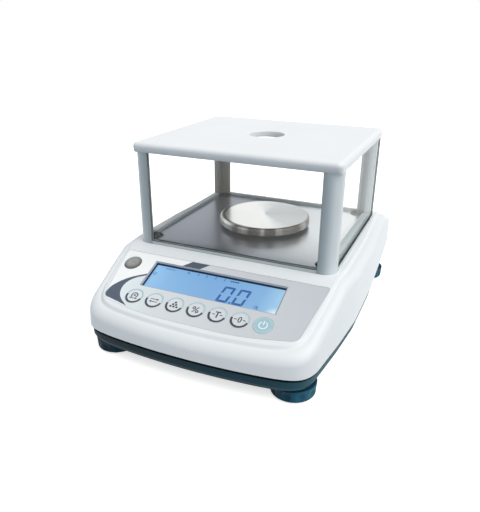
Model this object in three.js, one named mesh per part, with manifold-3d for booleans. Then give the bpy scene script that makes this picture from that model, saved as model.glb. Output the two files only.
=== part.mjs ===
// Electronic balance with a glass draft shield, in millimetres, +Z up, front towards -Y.
// It stands on z = 0 and its plan is centred on the origin.
import * as THREE from 'three';
import { mergeVertices } from 'three/addons/utils/BufferGeometryUtils.js';
import Module from 'manifold-3d';

const wasm = await Module();
wasm.setup();

// Driving dimensions of the whole balance
const bodyWidth = 198;
const bodyLength = 322;
const deckHeight = 67.5;
const partingHeight = 23.4;
const panelTilt = THREE.MathUtils.degToRad(21.03);
const panCentre = -5;
const shieldHeight = 83.5;
const fitGap = 0.25;
const runningGap = 0.3;
const overrun = 5;

// Sides, ends and breaks of the deck, and how far in from them the pieces stand
const sideX = bodyWidth / 2;
const endY = bodyLength / 2;
const run = { panel: 76.2, rear: 78, taper: 24.8 };
const frontBreak = run.panel - endY;
const rearBreak = endY - run.rear;
const lidTop = deckHeight + shieldHeight;
const margin = {
  panelTop: 13.8,
  panelFoot: 21.8,
  display: 30.4,
  level: 11.8,
  shieldSide: 15.4,
  shieldFront: 3.9,
  shieldRear: 13.7,
  rail: 8.4,
  rearRail: 6.3,
  frontScrewSide: 15,
  frontScrew: 1.2,
  rearScrewSide: 18,
  rearScrew: 35,
  frontFootSide: 25.8,
  frontFoot: 28.2,
  rearFootSide: 19.7,
  rearFoot: 80.3,
  boardSide: 39,
  boardRear: 11,
  cellEnd: 96,
};

// Upper housing: walls, rounded shoulder and the raised plateau
const housing = {
  wall: 3,
  draft: 0.5,
  shoulder: 6.5,
  ledge: 2,
  chamfer: 7,
  roofInset: 12,
  plateauSide: 9,
  plateauFront: 7,
  plateauRear: 10,
  plateauLip: 1.2,
  frontBreak,
  rearBreak,
  breakBlend: 1.5,
  screwBoss: 4,
  screwPilot: 1.3,
  bossGap: 0.2,
};
const rearFall = 0.325;
const frontFall = Math.tan(panelTilt);
const cornerPower = 12;
const taper = { frontFrom: -frontBreak - run.taper, frontShare: 0.00085, rearShare: 0.00048 };
const frontBow = 9;
const cornerStart = THREE.MathUtils.degToRad(24);
const cornerSteps = 6;
const bowAngle = THREE.MathUtils.degToRad(89);
// Facets round a small hidden part, a plain round part, and a large visible one
const coarse = 8;
const medium = 14;
const fine = 28;

// Lower base: a tray that tapers in under the housing
const base = {
  underside: 10.6,
  floor: 2.5,
  setBack: 1.2,
  beltTop: 15.5,
  beltIn: 1.8,
  taperTop: 12.3,
  taperIn: 3.6,
  soleIn: 7,
  floorIn: 9.5,
  seam: 0.3,
  lipRise: 3,
  lipWall: 1.8,
  screwBoss: 4.5,
  screwHead: 3.4,
  screwHeadDepth: 6,
  screwShank: 1.7,
  footBoss: 7.6,
  footBossTop: 25,
  standoff: 3,
  standoffRise: 2.4,
};
const columnDrop = { front: 3.308, rear: 2.8 };
const coverScrews = [
  { name: 'front_left', x: margin.frontScrewSide - sideX, y: frontBreak - margin.frontScrew, drop: columnDrop.front },
  { name: 'front_right', x: sideX - margin.frontScrewSide, y: frontBreak - margin.frontScrew, drop: columnDrop.front },
  { name: 'rear_left', x: margin.rearScrewSide - sideX, y: endY - margin.rearScrew, drop: columnDrop.rear },
  { name: 'rear_right', x: sideX - margin.rearScrewSide, y: endY - margin.rearScrew, drop: columnDrop.rear },
];

// Levelling feet: rubber pad, scalloped knob, threaded stud and brass insert
const foot = {
  radius: 16.6,
  soleRadius: 15.9,
  soleEdge: 1,
  padRadius: 14.2,
  padHeight: 1.2,
  padNeck: 4.2,
  padNeckRise: 1.6,
  dimples: 10,
  dimpleRadius: 3.3,
  dimpleFloor: 1.8,
  dimpleReach: 2.4,
  dimpleSides: 6,
  turnGap: 0.5,
  studRadius: 3.9,
  studTop: 23,
  studSeat: 4,
  insertRadius: 5.6,
  insertRise: 13,
  insertClear: 0.15,
};
const feet = [
  { name: 'front_left', x: margin.frontFootSide - sideX, y: margin.frontFoot - endY },
  { name: 'front_right', x: sideX - margin.frontFootSide, y: margin.frontFoot - endY },
  { name: 'rear_left', x: margin.rearFootSide - sideX, y: endY - margin.rearFoot },
  { name: 'rear_right', x: sideX - margin.rearFootSide, y: endY - margin.rearFoot },
];

// Control panel, measured down the slope from the front break of the deck
const panelIn = { sideFoot: 15.5, bow: 8, keys: 6.8 };
const panel = {
  halfTop: sideX - margin.panelTop,
  halfFoot: sideX - margin.panelFoot,
  top: -9.2,
  sideFoot: panelIn.sideFoot - run.panel,
  bow: panelIn.bow - run.panel,
  cornerTop: 2.5,
  cornerFoot: 5,
  film: 0.5,
  pocket: 0.6,
};
const keyLine = panel.sideFoot + panelIn.keys;
const keyBoardHalf = 7.6;
const boardGap = { top: 3.5, foot: 0.8 };
const boardEnds = { top: panel.top - boardGap.top, foot: keyLine + keyBoardHalf + boardGap.foot };
const boardLap = { x: 8.4, s: 2.7, boss: 3.2, bossS: 4.4, glass: 1.2, glassS: 1.3 };
const windowHalf = {
  x: panel.halfTop - margin.display,
  s: (boardEnds.top - boardEnds.foot) / 2 - boardLap.s,
};
const display = {
  x: 1,
  halfWidth: windowHalf.x,
  halfHeight: windowHalf.s,
  centre: (boardEnds.top + boardEnds.foot) / 2,
  frameBorder: 1.7,
  frameRim: 1.2,
  frameDepth: 2.8,
  glassHalfWidth: windowHalf.x + boardLap.glass,
  glassHalfHeight: windowHalf.s + boardLap.glassS,
  glass: 3.4,
  boardHalfWidth: windowHalf.x + boardLap.x,
  boardHalfHeight: windowHalf.s + boardLap.s,
  board: 1.6,
  bossX: windowHalf.x + boardLap.x - boardLap.boss,
  bossS: windowHalf.s + boardLap.s - boardLap.bossS,
  boss: 2.5,
};
const keyNames = ['print', 'mode', 'count', 'percent', 'tare', 'zero', 'power'];
const keyIn = { first: 10.1, last: 12.62, gap: 0.64, flange: 0.8 };
const keyRow = { from: keyIn.first - display.boardHalfWidth, to: display.boardHalfWidth - keyIn.last };
const keyPitch = (keyRow.to - keyRow.from) / (keyNames.length - 1);
const key = {
  names: keyNames,
  firstX: keyRow.from,
  pitch: keyPitch,
  centre: keyLine,
  radius: keyPitch / 2 - keyIn.gap - keyIn.flange,
  proud: 0.15,
  flangeRadius: keyPitch / 2 - keyIn.gap,
  flangeTop: -0.9,
  flangeUnder: -1.6,
  stem: 3,
  stemEnd: -3.2,
  travel: 0.5,
  switchHalf: 3,
  switchButton: 1.7,
  switchRise: 0.7,
  switchGap: 0.1,
  boardHalfWidth: display.boardHalfWidth,
  boardHalfHeight: keyBoardHalf,
  boardTop: -8,
  board: 1.6,
};
const levelDrop = 14.3;
const level = {
  x: margin.level - panel.halfTop,
  centre: -22.2,
  radius: 7,
  height: 7,
  top: deckHeight - levelDrop,
  domeRise: 0.8,
  holderWall: 2,
  holderFloor: 1.6,
};

// Splash plate, weighing pan and what carries the pan, with their heights above the deck
const rise = { collar: 4.5, plate: 3.4, pan: 12.7, hub: 1.5, panBore: 7.7 };
const deck = {
  recess: 1.2,
  collarRadius: 13,
  collarBore: 10,
  collarTop: deckHeight + rise.collar,
};
const plate = {
  top: deckHeight + rise.plate,
  sheet: 1,
  corner: 3,
  holeGap: 0.6,
};
const pan = {
  radius: 40,
  top: deckHeight + rise.pan,
  skirt: 6.3,
  sheet: 1.2,
  edge: 2.4,
  supportRadius: 31,
  supportRim: 2.2,
  hubRadius: 8.6,
  hubFoot: deckHeight + rise.hub,
  rib: 1.2,
  boreTop: deckHeight + rise.panBore,
  pinGap: 0.35,
  pinRadius: 4,
  pinTip: 2.6,
};
const cell = {
  halfLength: endY - margin.cellEnd,
  halfWidth: 11,
  bottom: 19.5,
  top: 41.5,
  holeRadius: 7.5,
  holeSpread: 20,
  web: 2.6,
  endPad: 22,
  mountHalf: 16,
  boltRadius: 2.6,
  boltHead: 4.4,
  boltHeadDepth: 4,
  boltSpread: 11,
  armFoot: 3,
  armThick: 5,
  armHalf: 10,
  armReach: 10,
  stopRadius: 3,
  stopHead: 5,
  stopHeadRise: 2.6,
  stopGap: 0.5,
};

// Electronics behind the load cell
const boardLength = 76;
const board = {
  halfWidth: sideX - margin.boardSide,
  front: endY - margin.boardRear - boardLength,
  rear: endY - margin.boardRear,
  sheet: 1.6,
  margin: 6,
  canHalf: 14,
  canRise: 6,
  chipHalf: 7,
  chipRise: 1.4,
  capRadius: 5,
  capRise: 11,
};
const port = {
  x: -30,
  halfFlange: 15.4,
  halfFlangeHeight: 6.2,
  flange: 1,
  halfShell: 9,
  halfShellHeight: 5,
  shellCorner: 2.4,
  shellReach: 4,
  shellWall: 0.6,
  bodyDepth: 9,
  recess: 5,
};
const jack = {
  x: 20,
  halfWidth: 4.6,
  height: 11,
  depth: 13,
  socket: 3.1,
  socketDepth: 9,
  pin: 1,
  recess: 4.5,
};

// Draft shield: moulded frame, four panes and the lid
const railRise = { top: 5.8, lip: 0.9, slot: 0.2, front: 2.5, pad: 2.4 };
const lidHeight = 7.8;
const shield = {
  halfWidth: sideX - margin.shieldSide,
  front: frontBreak + margin.shieldFront,
  rear: rearBreak - margin.shieldRear,
  cornerFront: 9,
  cornerRear: 3,
  railTop: deckHeight + railRise.top,
  railInner: sideX - margin.shieldSide - margin.rail,
  rearInner: rearBreak - margin.shieldRear - margin.rearRail,
  lipTop: deckHeight + railRise.lip,
  slotFloor: deckHeight + railRise.slot,
  frontTop: deckHeight + railRise.front,
  lip: 0.8,
  slot: 2.2,
  post: 12.6,
  postRear: 12.4,
  grooveDepth: 2.3,
  postTop: lidTop - lidHeight,
  plugRadius: 6.3,
  plugRise: 2.3,
  plugStem: 2.5,
  plugStemDepth: 3,
  padTop: deckHeight + railRise.pad,
  padRim: 0.3,
  plugGap: 0.15,
};
const pane = { sheet: 2, seatGap: 0.1 };
const lidEdge = 3.8;
const lid = {
  overhang: 0.7,
  corner: 4.5,
  bottom: lidTop - lidHeight,
  edgeTop: lidTop - lidEdge,
  edge: lidEdge,
  top: lidTop,
  draft: 0.4,
  wall: 6,
  roof: 2.5,
  holeRadius: 14.8,
  collar: 2.2,
  collarDrop: 2.5,
  rib: 2,
  ribDrop: 2,
  ribHalfShare: 0.62,
};

// Materials from the photograph
const palette = {
  whiteShell: { color: '#e9ecef', roughness: 0.42, metalness: 0 },
  darkShell: { color: '#2b4a54', roughness: 0.5, metalness: 0 },
  film: { color: '#c5cacd', roughness: 0.35, metalness: 0 },
  greyFrame: { color: '#a9b5b9', roughness: 0.42, metalness: 0 },
  glass: { color: '#dfece9', roughness: 0.05, metalness: 0 },
  steel: { color: '#c9c8c6', roughness: 0.25, metalness: 1 },
  aluminium: { color: '#b9bcc0', roughness: 0.4, metalness: 1 },
  brass: { color: '#b8964a', roughness: 0.35, metalness: 1 },
  rubber: { color: '#16191b', roughness: 0.85, metalness: 0 },
  blackPlastic: { color: '#1b1e21', roughness: 0.5, metalness: 0 },
  lcd: { color: '#6ea6e6', roughness: 0.2, metalness: 0 },
  circuit: { color: '#1f5a3a', roughness: 0.6, metalness: 0 },
  keyCap: { color: '#cdd3d6', roughness: 0.4, metalness: 0 },
  keyBlue: { color: '#a8d5e8', roughness: 0.4, metalness: 0 },
  vial: { color: '#8b8578', roughness: 0.1, metalness: 0 },
};

const balance = new THREE.Group();
balance.name = 'electronic_balance';

// Helpers: a geometry becomes a solid, solids are cut and joined, and a solid becomes a mesh
function solid(geometry) {
  const bare = geometry.clone();
  for (const name of ['normal', 'uv']) bare.deleteAttribute(name);
  const merged = mergeVertices(bare);
  const places = merged.attributes.position;
  const corners = [];
  for (let i = 0; i < merged.index.count; i += 3) {
    const face = [0, 1, 2].map((j) => merged.index.getX(i + j));
    if (new Set(face).size === 3) corners.push(face);
  }
  const at = (i) => new THREE.Vector3().fromBufferAttribute(places, i);
  const volume = corners.reduce((sum, [a, b, c]) => sum + at(a).dot(at(b).cross(at(c))), 0);
  const outward = volume < 0 ? corners.map(([a, b, c]) => [a, c, b]) : corners;
  return new wasm.Manifold(new wasm.Mesh({
    numProp: 3,
    vertProperties: new Float32Array(places.array),
    triVerts: new Uint32Array(outward.flat()),
  }));
}

function cut(body, ...tools) {
  return tools.reduce((left, tool) => left.subtract(tool), body);
}

function join(body, ...others) {
  return others.reduce((sum, other) => sum.add(other), body);
}

function place(name, body, finish) {
  const mesh = body.getMesh();
  const geometry = new THREE.BufferGeometry();
  const places = new Float32Array(mesh.vertProperties);
  geometry.setAttribute('position', new THREE.BufferAttribute(places, 3));
  geometry.setIndex([...mesh.triVerts]);
  geometry.computeVertexNormals();
  const item = new THREE.Mesh(geometry, new THREE.MeshStandardMaterial(palette[finish]));
  item.name = name;
  balance.add(item);
}

// Plain forms: a block between limits, an upright drum, a turned profile and an extruded outline
function block([x0, x1], [y0, y1], [z0, z1]) {
  const geometry = new THREE.BoxGeometry(x1 - x0, y1 - y0, z1 - z0);
  return solid(geometry.translate((x0 + x1) / 2, (y0 + y1) / 2, (z0 + z1) / 2));
}

function drum(radius, bottom, top, x = 0, y = 0, sides = medium) {
  const geometry = new THREE.CylinderGeometry(radius, radius, top - bottom, sides);
  return solid(geometry.rotateX(Math.PI / 2).translate(x, y, (bottom + top) / 2));
}

function turned(profile, x = 0, y = 0, sides = medium) {
  const outline = profile.map(([radius, height]) => new THREE.Vector2(radius, height));
  return solid(new THREE.LatheGeometry(outline, sides).rotateX(Math.PI / 2).translate(x, y, 0));
}

function prism(shape, bottom, top, curveSegments = 4) {
  const settings = { depth: top - bottom, bevelEnabled: false, curveSegments };
  return solid(new THREE.ExtrudeGeometry(shape, settings).translate(0, 0, bottom));
}

// An outline with a round corner at each point: points are [x, y, radius]
function roundedShape(points) {
  const shape = new THREE.Shape();
  points.forEach(([x, y, radius], i) => {
    const corner = new THREE.Vector2(x, y);
    const before = new THREE.Vector2(...points.at(i - 1));
    const after = new THREE.Vector2(...points[(i + 1) % points.length]);
    const start = before.sub(corner).setLength(radius).add(corner);
    const end = after.sub(corner).setLength(radius).add(corner);
    if (i === 0) shape.moveTo(start.x, start.y);
    else shape.lineTo(start.x, start.y);
    if (radius > 0) shape.quadraticCurveTo(x, y, end.x, end.y);
  });
  return shape;
}

function roundedBox([x0, x1], [y0, y1], [frontRadius, rearRadius]) {
  const shape = new THREE.Shape();
  shape.moveTo(x0 + frontRadius, y0);
  shape.absarc(x1 - frontRadius, y0 + frontRadius, frontRadius, -Math.PI / 2, 0);
  shape.absarc(x1 - rearRadius, y1 - rearRadius, rearRadius, 0, Math.PI / 2);
  shape.absarc(x0 + rearRadius, y1 - rearRadius, rearRadius, Math.PI / 2, Math.PI);
  shape.absarc(x0 + frontRadius, y0 + frontRadius, frontRadius, Math.PI, 1.5 * Math.PI);
  shape.closePath();
  return shape;
}

// A loft through rings that mirror left to right; each ring is its right half, front to rear
function loft(rings) {
  const positions = [];
  const index = [];
  const half = rings[0].length;
  const around = 2 * half - 2;
  for (const ring of rings) {
    const left = ring.slice(1, -1).reverse().map((p) => new THREE.Vector3(-p.x, p.y, p.z));
    for (const point of [...ring, ...left]) positions.push(point.x, point.y, point.z);
  }
  const quad = (a, b, c, d) => index.push(a, b, c, a, c, d);
  for (let r = 0; r + 1 < rings.length; r += 1) {
    for (let i = 0; i < around; i += 1) {
      const next = (i + 1) % around;
      const low = r * around;
      const high = low + around;
      quad(low + i, low + next, high + next, high + i);
    }
  }
  const last = (rings.length - 1) * around;
  for (let i = 0; i + 1 < half; i += 1) {
    const mirror = (j) => (around - j) % around;
    quad(mirror(i), mirror(i + 1), i + 1, i);
    quad(last + i, last + i + 1, last + mirror(i + 1), last + mirror(i));
  }
  const geometry = new THREE.BufferGeometry();
  geometry.setAttribute('position', new THREE.Float32BufferAttribute(positions, 3));
  geometry.setIndex(index);
  return solid(geometry);
}

// Plan curve of the housing: straight-looking sides that swell, with full rounded corners
const stations = [
  housing.frontBreak - 10 * housing.breakBlend,
  housing.frontBreak - housing.breakBlend,
  housing.frontBreak,
  housing.frontBreak + housing.breakBlend,
  -taper.frontFrom,
  0,
  housing.rearBreak - housing.breakBlend,
  housing.rearBreak + housing.breakBlend,
];

function planRing(inset, height) {
  const [side, front, rear] = Array.isArray(inset) ? inset : [inset, inset, inset];
  const reach = (back) => bodyLength / 2 - (back ? rear : front);
  const halfWidth = (y) => (bodyWidth / 2 - side)
    * (1 - taper.frontShare * Math.max(-y - taper.frontFrom, 0) - taper.rearShare * Math.max(y, 0));
  const ring = [];
  const corner = (angle, back) => {
    const share = (value) => Math.max(value, 0) ** (2 / cornerPower);
    const end = (back ? reach(back) : -reach(back)) * share(Math.sin(angle));
    const x = halfWidth(end) * share(Math.cos(angle));
    const y = back ? end : end + frontBow * (x / (bodyWidth / 2)) ** 2 * Math.sin(angle) ** 2;
    ring.push(new THREE.Vector3(x, y, height(y)));
  };
  const angles = Array.from({ length: cornerSteps + 1 },
    (_, i) => cornerStart + ((Math.PI / 2 - cornerStart) * i) / cornerSteps);
  for (const angle of [...angles, bowAngle].sort((a, b) => b - a)) corner(angle, false);
  for (const y of stations) {
    const back = y > 0;
    const share = (1 - (Math.abs(y) / reach(back)) ** cornerPower) ** (1 / cornerPower);
    ring.push(new THREE.Vector3(halfWidth(y) * share, y, height(y)));
  }
  for (const angle of angles) corner(angle, true);
  ring[0].x = 0;
  ring.at(-1).x = 0;
  return ring;
}

// Height of the plateau over the length: level deck, panel slope and the fall to the rear
function plateauTop(y) {
  const blend = housing.breakBlend;
  const past = (run) => (run < -blend ? 0 : run > blend ? run : (run + blend) ** 2 / (4 * blend));
  return deckHeight - frontFall * past(housing.frontBreak - y) - rearFall * past(y - housing.rearBreak);
}

const ledgeTop = (y) => plateauTop(y) - housing.ledge;
const flatAt = (z) => () => z;

// Panel pieces are made flat, with y up the slope and z out of the panel, then laid on the slope
function onPanel(body) {
  const tilt = THREE.MathUtils.radToDeg(panelTilt);
  return body.rotate([tilt, 0, 0]).translate([0, housing.frontBreak, deckHeight]);
}

function panelOutline(grow) {
  const halfFoot = panel.halfFoot + grow;
  const shape = roundedShape([
    [panel.halfTop + grow, panel.top + grow, panel.cornerTop],
    [-panel.halfTop - grow, panel.top + grow, panel.cornerTop],
    [-halfFoot, panel.sideFoot - grow, panel.cornerFoot],
    [-halfFoot / 2, panel.bow - grow, halfFoot / 4],
    [halfFoot / 2, panel.bow - grow, halfFoot / 4],
    [halfFoot, panel.sideFoot - grow, panel.cornerFoot],
  ]);
  return shape;
}

const keyPlaces = key.names.map((name, i) => ({ name, x: key.firstX + i * key.pitch }));
const frameHole = [display.halfWidth - display.frameRim, display.halfHeight - display.frameRim];
const frameOuter = [display.halfWidth + display.frameBorder, display.halfHeight + display.frameBorder];
const around = (centre, half) => [centre - half, centre + half];
const plugInset = shield.plugRadius + shield.plugGap;
const postWall = 2 * shield.lip + shield.slot;
const slotIn = shield.halfWidth - shield.lip - shield.slot;
const rearPostSide = slotIn - shield.plugGap;
const plugs = [-1, 1].flatMap((side) => [
  {
    name: side < 0 ? 'front_left' : 'front_right',
    side,
    x: side * (shield.halfWidth - postWall - plugInset),
    y: shield.front + postWall + plugInset,
    cornerY: [shield.front + postWall, shield.front + postWall + plugInset],
  },
  {
    name: side < 0 ? 'rear_left' : 'rear_right',
    side,
    x: side * (rearPostSide - postWall - plugInset),
    y: shield.rear - postWall - plugInset,
    cornerY: [shield.rear - shield.postRear, shield.rear - postWall],
  },
]);
const outward = (side, a, b) => [side * a, side * b].sort((m, n) => m - n);
const deckFloor = deckHeight - deck.recess;
const floorTop = base.underside + base.floor;
const boardBottom = floorTop + base.standoffRise;
const boardTop = boardBottom + board.sheet;
const portFace = bodyLength / 2 - port.recess;
const jackFace = bodyLength / 2 - jack.recess;
const portCentre = boardTop + port.halfFlangeHeight;

// Upper housing: one moulded shell with the plateau, all openings and the pan collar
function upperHousing() {
  const { wall, draft, shoulder, chamfer, roofInset, plateauLip } = housing;
  const plateau = [housing.plateauSide, housing.plateauFront + draft, housing.plateauRear];
  const inner = [
    planRing(roofInset, (y) => plateauTop(y) - wall),
    planRing(wall + draft, (y) => ledgeTop(y) - chamfer),
    planRing(wall, flatAt(partingHeight)),
  ];
  const outer = [planRing(0, flatAt(partingHeight)), planRing(draft, (y) => ledgeTop(y) - shoulder)];
  for (const turn of [Math.PI / 6, Math.PI / 3, Math.PI / 2]) {
    const inset = draft + shoulder * (1 - Math.cos(turn));
    outer.push(planRing(inset, (y) => ledgeTop(y) - shoulder * (1 - Math.sin(turn))));
  }
  const rise = [[0, 0], [0.35, 0.75], [1, 1]];
  for (const [inShare, upShare] of rise) {
    const inset = plateau.map((value) => value + inShare * plateauLip);
    outer.push(planRing(inset, (y) => ledgeTop(y) + upShare * housing.ledge));
  }
  let body = loft([...inner, ...outer]);

  const { halfWidth, front, rear, cornerFront, cornerRear } = shield;
  const recess = prism(roundedBox([-halfWidth - fitGap, halfWidth + fitGap],
    [front - fitGap, rear + fitGap], [cornerFront + fitGap, cornerRear + fitGap]),
  deckFloor, deckHeight + overrun);
  body = cut(body, recess);
  body = join(body, drum(deck.collarRadius, deckFloor - wall / 2, deck.collarTop, 0, panCentre));
  body = cut(body, drum(deck.collarBore, partingHeight, deck.collarTop + overrun, 0, panCentre));

  const through = [-wall - overrun, overrun];
  const pocket = prism(panelOutline(fitGap), -panel.pocket, overrun);
  const opening = block(around(display.x, frameOuter[0] + fitGap),
    around(display.centre, frameOuter[1] + fitGap), through);
  body = cut(body, onPanel(pocket), onPanel(opening));
  for (const { x } of keyPlaces) {
    const floor = key.flangeUnder - key.travel - fitGap;
    const well = drum(key.flangeRadius + runningGap, floor, overrun, x, key.centre);
    const hole = drum(key.stem + runningGap, ...through, x, key.centre, coarse);
    body = cut(body, onPanel(well), onPanel(hole));
  }
  const sight = drum(level.radius + fitGap, ...through, level.x, level.centre);
  body = cut(body, onPanel(sight));

  for (const bx of [-display.bossX, display.bossX]) {
    for (const [s, end] of displayBosses()) {
      const boss = block(around(bx, display.boss), around(s, display.boss), [end, -panel.pocket - wall / 2]);
      body = join(body, onPanel(boss));
    }
  }
  for (const { x, y, drop } of coverScrews) {
    const foot0 = partingHeight + base.lipRise - base.seam + housing.bossGap;
    const column = drum(housing.screwBoss, foot0, plateauTop(y) - drop, x, y, coarse);
    const pilot = drum(housing.screwPilot, partingHeight, foot0 + 3 * housing.screwBoss, x, y, coarse);
    body = cut(join(body, column), pilot);
  }
  const rearWall = [bodyLength / 2 - overrun - wall, bodyLength / 2 + overrun];
  const portNotch = block(around(port.x, port.halfFlange + fitGap), rearWall,
    [partingHeight - overrun, portCentre + port.halfFlangeHeight + fitGap]);
  const jackNotch = block(around(jack.x, jack.halfWidth + fitGap), rearWall,
    [partingHeight - overrun, boardTop + jack.height + fitGap]);
  place('upper_housing', cut(body, portNotch, jackNotch), 'whiteShell');
}

function displayBosses() {
  const boardFace = -panel.pocket - display.frameDepth - display.glass;
  return [
    [display.centre - display.bossS, boardFace],
    [display.centre + display.bossS, boardFace],
    [key.centre, key.boardTop],
  ];
}

// Lower base: tray with tapered belt, locating lip, screw, foot and board bosses
function lowerBase() {
  const top = partingHeight - base.seam;
  const lipOut = housing.wall + fitGap;
  const lipTop = top + base.lipRise;
  const inside = lipOut + base.lipWall;
  const sole = flatAt(base.underside);
  const outer = [
    planRing(base.soleIn, sole),
    planRing(base.taperIn, flatAt(base.taperTop)),
    planRing(base.beltIn, flatAt(base.beltTop)),
    planRing(base.setBack, flatAt(top)),
  ];
  let body = loft([
    ...outer,
    planRing(lipOut, flatAt(top)),
    planRing(lipOut, flatAt(lipTop)),
    planRing(inside, flatAt(lipTop)),
    planRing(inside, flatAt(base.beltTop)),
    planRing(base.floorIn, flatAt(floorTop)),
  ]);
  const envelope = loft([...outer, planRing(lipOut, flatAt(top + overrun))]);
  for (const { x, y } of feet) {
    body = join(body, drum(base.footBoss, floorTop - base.floor / 2, base.footBossTop, x, y));
  }
  for (const { x, y } of feet) {
    const bore = foot.insertRadius + foot.insertClear;
    body = cut(body, drum(bore, base.underside - overrun, base.footBossTop + overrun, x, y));
  }
  for (const { x, y } of coverScrews) {
    const column = drum(base.screwBoss, floorTop - base.floor / 2, lipTop, x, y, coarse);
    const well = drum(base.screwHead + fitGap, base.underside - overrun,
      base.underside + base.screwHeadDepth, x, y, coarse);
    const hole = drum(base.screwShank + fitGap, base.underside, lipTop + overrun, x, y, coarse);
    const sleeve = drum(base.screwBoss + base.floor / 2, base.underside,
      base.underside + base.screwHeadDepth + base.floor, x, y, coarse).intersect(envelope);
    body = cut(join(body, column, sleeve), well, hole);
  }
  for (const x of [-1, 1].map((side) => side * (board.halfWidth - board.margin))) {
    for (const y of [board.front + board.margin, board.rear - board.margin]) {
      body = join(body, drum(base.standoff, floorTop - base.floor / 2, boardBottom, x, y, coarse));
    }
  }
  const rearWall = [bodyLength / 2 - overrun - base.floorIn, bodyLength / 2 + overrun];
  const portNotch = block(around(port.x, port.halfFlange + fitGap), rearWall,
    [boardTop, lipTop + overrun]);
  const jackNotch = block(around(jack.x, jack.halfWidth + fitGap), rearWall,
    [boardTop, lipTop + overrun]);
  place('lower_base', cut(body, portNotch, jackNotch), 'darkShell');
}

// Panel film with its cut-outs, the display stack and the keys
function controlPanel() {
  let film = prism(panelOutline(0), -panel.pocket, -panel.pocket + panel.film);
  const clear = [-panel.pocket - overrun, overrun];
  film = cut(film, block(around(display.x, display.halfWidth), around(display.centre, display.halfHeight),
    clear));
  film = cut(film, drum(level.radius + fitGap, ...clear, level.x, level.centre));
  for (const { x } of keyPlaces) {
    film = cut(film, drum(key.radius + runningGap, ...clear, x, key.centre));
  }
  place('panel_overlay', onPanel(film), 'film');

  const frameTop = -panel.pocket;
  const frameBottom = frameTop - display.frameDepth;
  const frame = cut(
    block(around(display.x, frameOuter[0]), around(display.centre, frameOuter[1]), [frameBottom, frameTop]),
    block(around(display.x, frameHole[0]), around(display.centre, frameHole[1]),
      [frameBottom - overrun, frameTop + overrun]),
  );
  place('display_bezel', onPanel(frame), 'blackPlastic');

  const glassBottom = frameBottom - display.glass;
  const glass = block(around(display.x, display.glassHalfWidth),
    around(display.centre, display.glassHalfHeight), [glassBottom, frameBottom]);
  place('display_lcd', onPanel(glass), 'lcd');

  const sheetBottom = glassBottom - display.board;
  let sheet = block(around(0, display.boardHalfWidth), around(display.centre, display.boardHalfHeight),
    [sheetBottom, glassBottom]);
  const driver = block(around(display.bossX / 2, display.bossS / 2),
    around(display.centre, display.bossS / 2), [sheetBottom - display.board, sheetBottom]);
  sheet = join(sheet, driver);
  place('display_board', onPanel(sheet), 'circuit');

  let pad = block(around(0, key.boardHalfWidth), around(key.centre, key.boardHalfHeight),
    [key.boardTop - key.board, key.boardTop]);
  const buttonTop = key.stemEnd - key.travel - key.switchGap;
  const caseTop = buttonTop - key.switchRise;
  for (const { x } of keyPlaces) {
    pad = join(pad,
      block(around(x, key.switchHalf), around(key.centre, key.switchHalf), [key.boardTop, caseTop]),
      drum(key.switchButton, caseTop - key.switchRise, buttonTop, x, key.centre, coarse));
  }
  place('keypad_board', onPanel(pad), 'circuit');

  for (const { name, x } of keyPlaces) {
    const cap = join(drum(key.radius, key.flangeTop, key.proud, x, key.centre),
      drum(key.flangeRadius, key.flangeUnder, key.flangeTop, x, key.centre),
      drum(key.stem, key.stemEnd, 0, x, key.centre, coarse));
    place(`key_${name}`, onPanel(cap), name === 'power' ? 'keyBlue' : 'keyCap');
  }
}

// Level: an upright vial, so it stays level under the sloping panel, in a cup below its hole
function spiritLevel() {
  const centre = housing.frontBreak + level.centre * Math.cos(panelTilt);
  const foot0 = level.top - level.height;
  const outer = level.radius + level.holderWall;
  const cup = drum(outer, foot0 - level.holderFloor, deckHeight, level.x, centre);
  const bore = drum(level.radius + fitGap, foot0, deckHeight + overrun, level.x, centre);
  const under = block(around(0, bodyWidth), around(0, bodyLength), [-housing.wall, deckHeight]);
  place('level_holder', cut(cup, bore, onPanel(under)), 'blackPlastic');
  place('level_vial', turned([
    [0, foot0], [level.radius, foot0], [level.radius, level.top - level.domeRise],
    [level.radius - level.domeRise, level.top - level.domeRise / 4], [0, level.top],
  ], level.x, centre), 'vial');
}

// Splash plate: steel sheet with turned-down edges and a round notch at each corner plug
function splashPlate() {
  const { railInner, rearInner, front } = shield;
  const x = railInner - runningGap;
  const y = [front + postWall + runningGap, rearInner - runningGap];
  const corners = [plate.corner, plate.corner];
  const sheet = prism(roundedBox([-x, x], y, corners), deckFloor, plate.top, 3);
  const under = prism(roundedBox([plate.sheet - x, x - plate.sheet],
    [y[0] + plate.sheet, y[1] - plate.sheet], corners.map((r) => r - plate.sheet)),
  deckFloor - overrun, plate.top - plate.sheet, 3);
  const hole = drum(deck.collarRadius + plate.holeGap, 0, deckHeight + overrun, 0, panCentre);
  let body = cut(sheet, under, hole);
  for (const plug of plugs) {
    const notch = shield.plugRadius + shield.padRim + runningGap;
    const reach = [plug.cornerY[0] - runningGap, plug.cornerY[1] + runningGap];
    body = cut(body, drum(notch, 0, deckHeight + overrun, plug.x, plug.y),
      block(outward(plug.side, Math.abs(plug.x), bodyWidth), reach, [0, deckHeight + overrun]));
  }
  place('splash_plate', body, 'steel');
}

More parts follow.
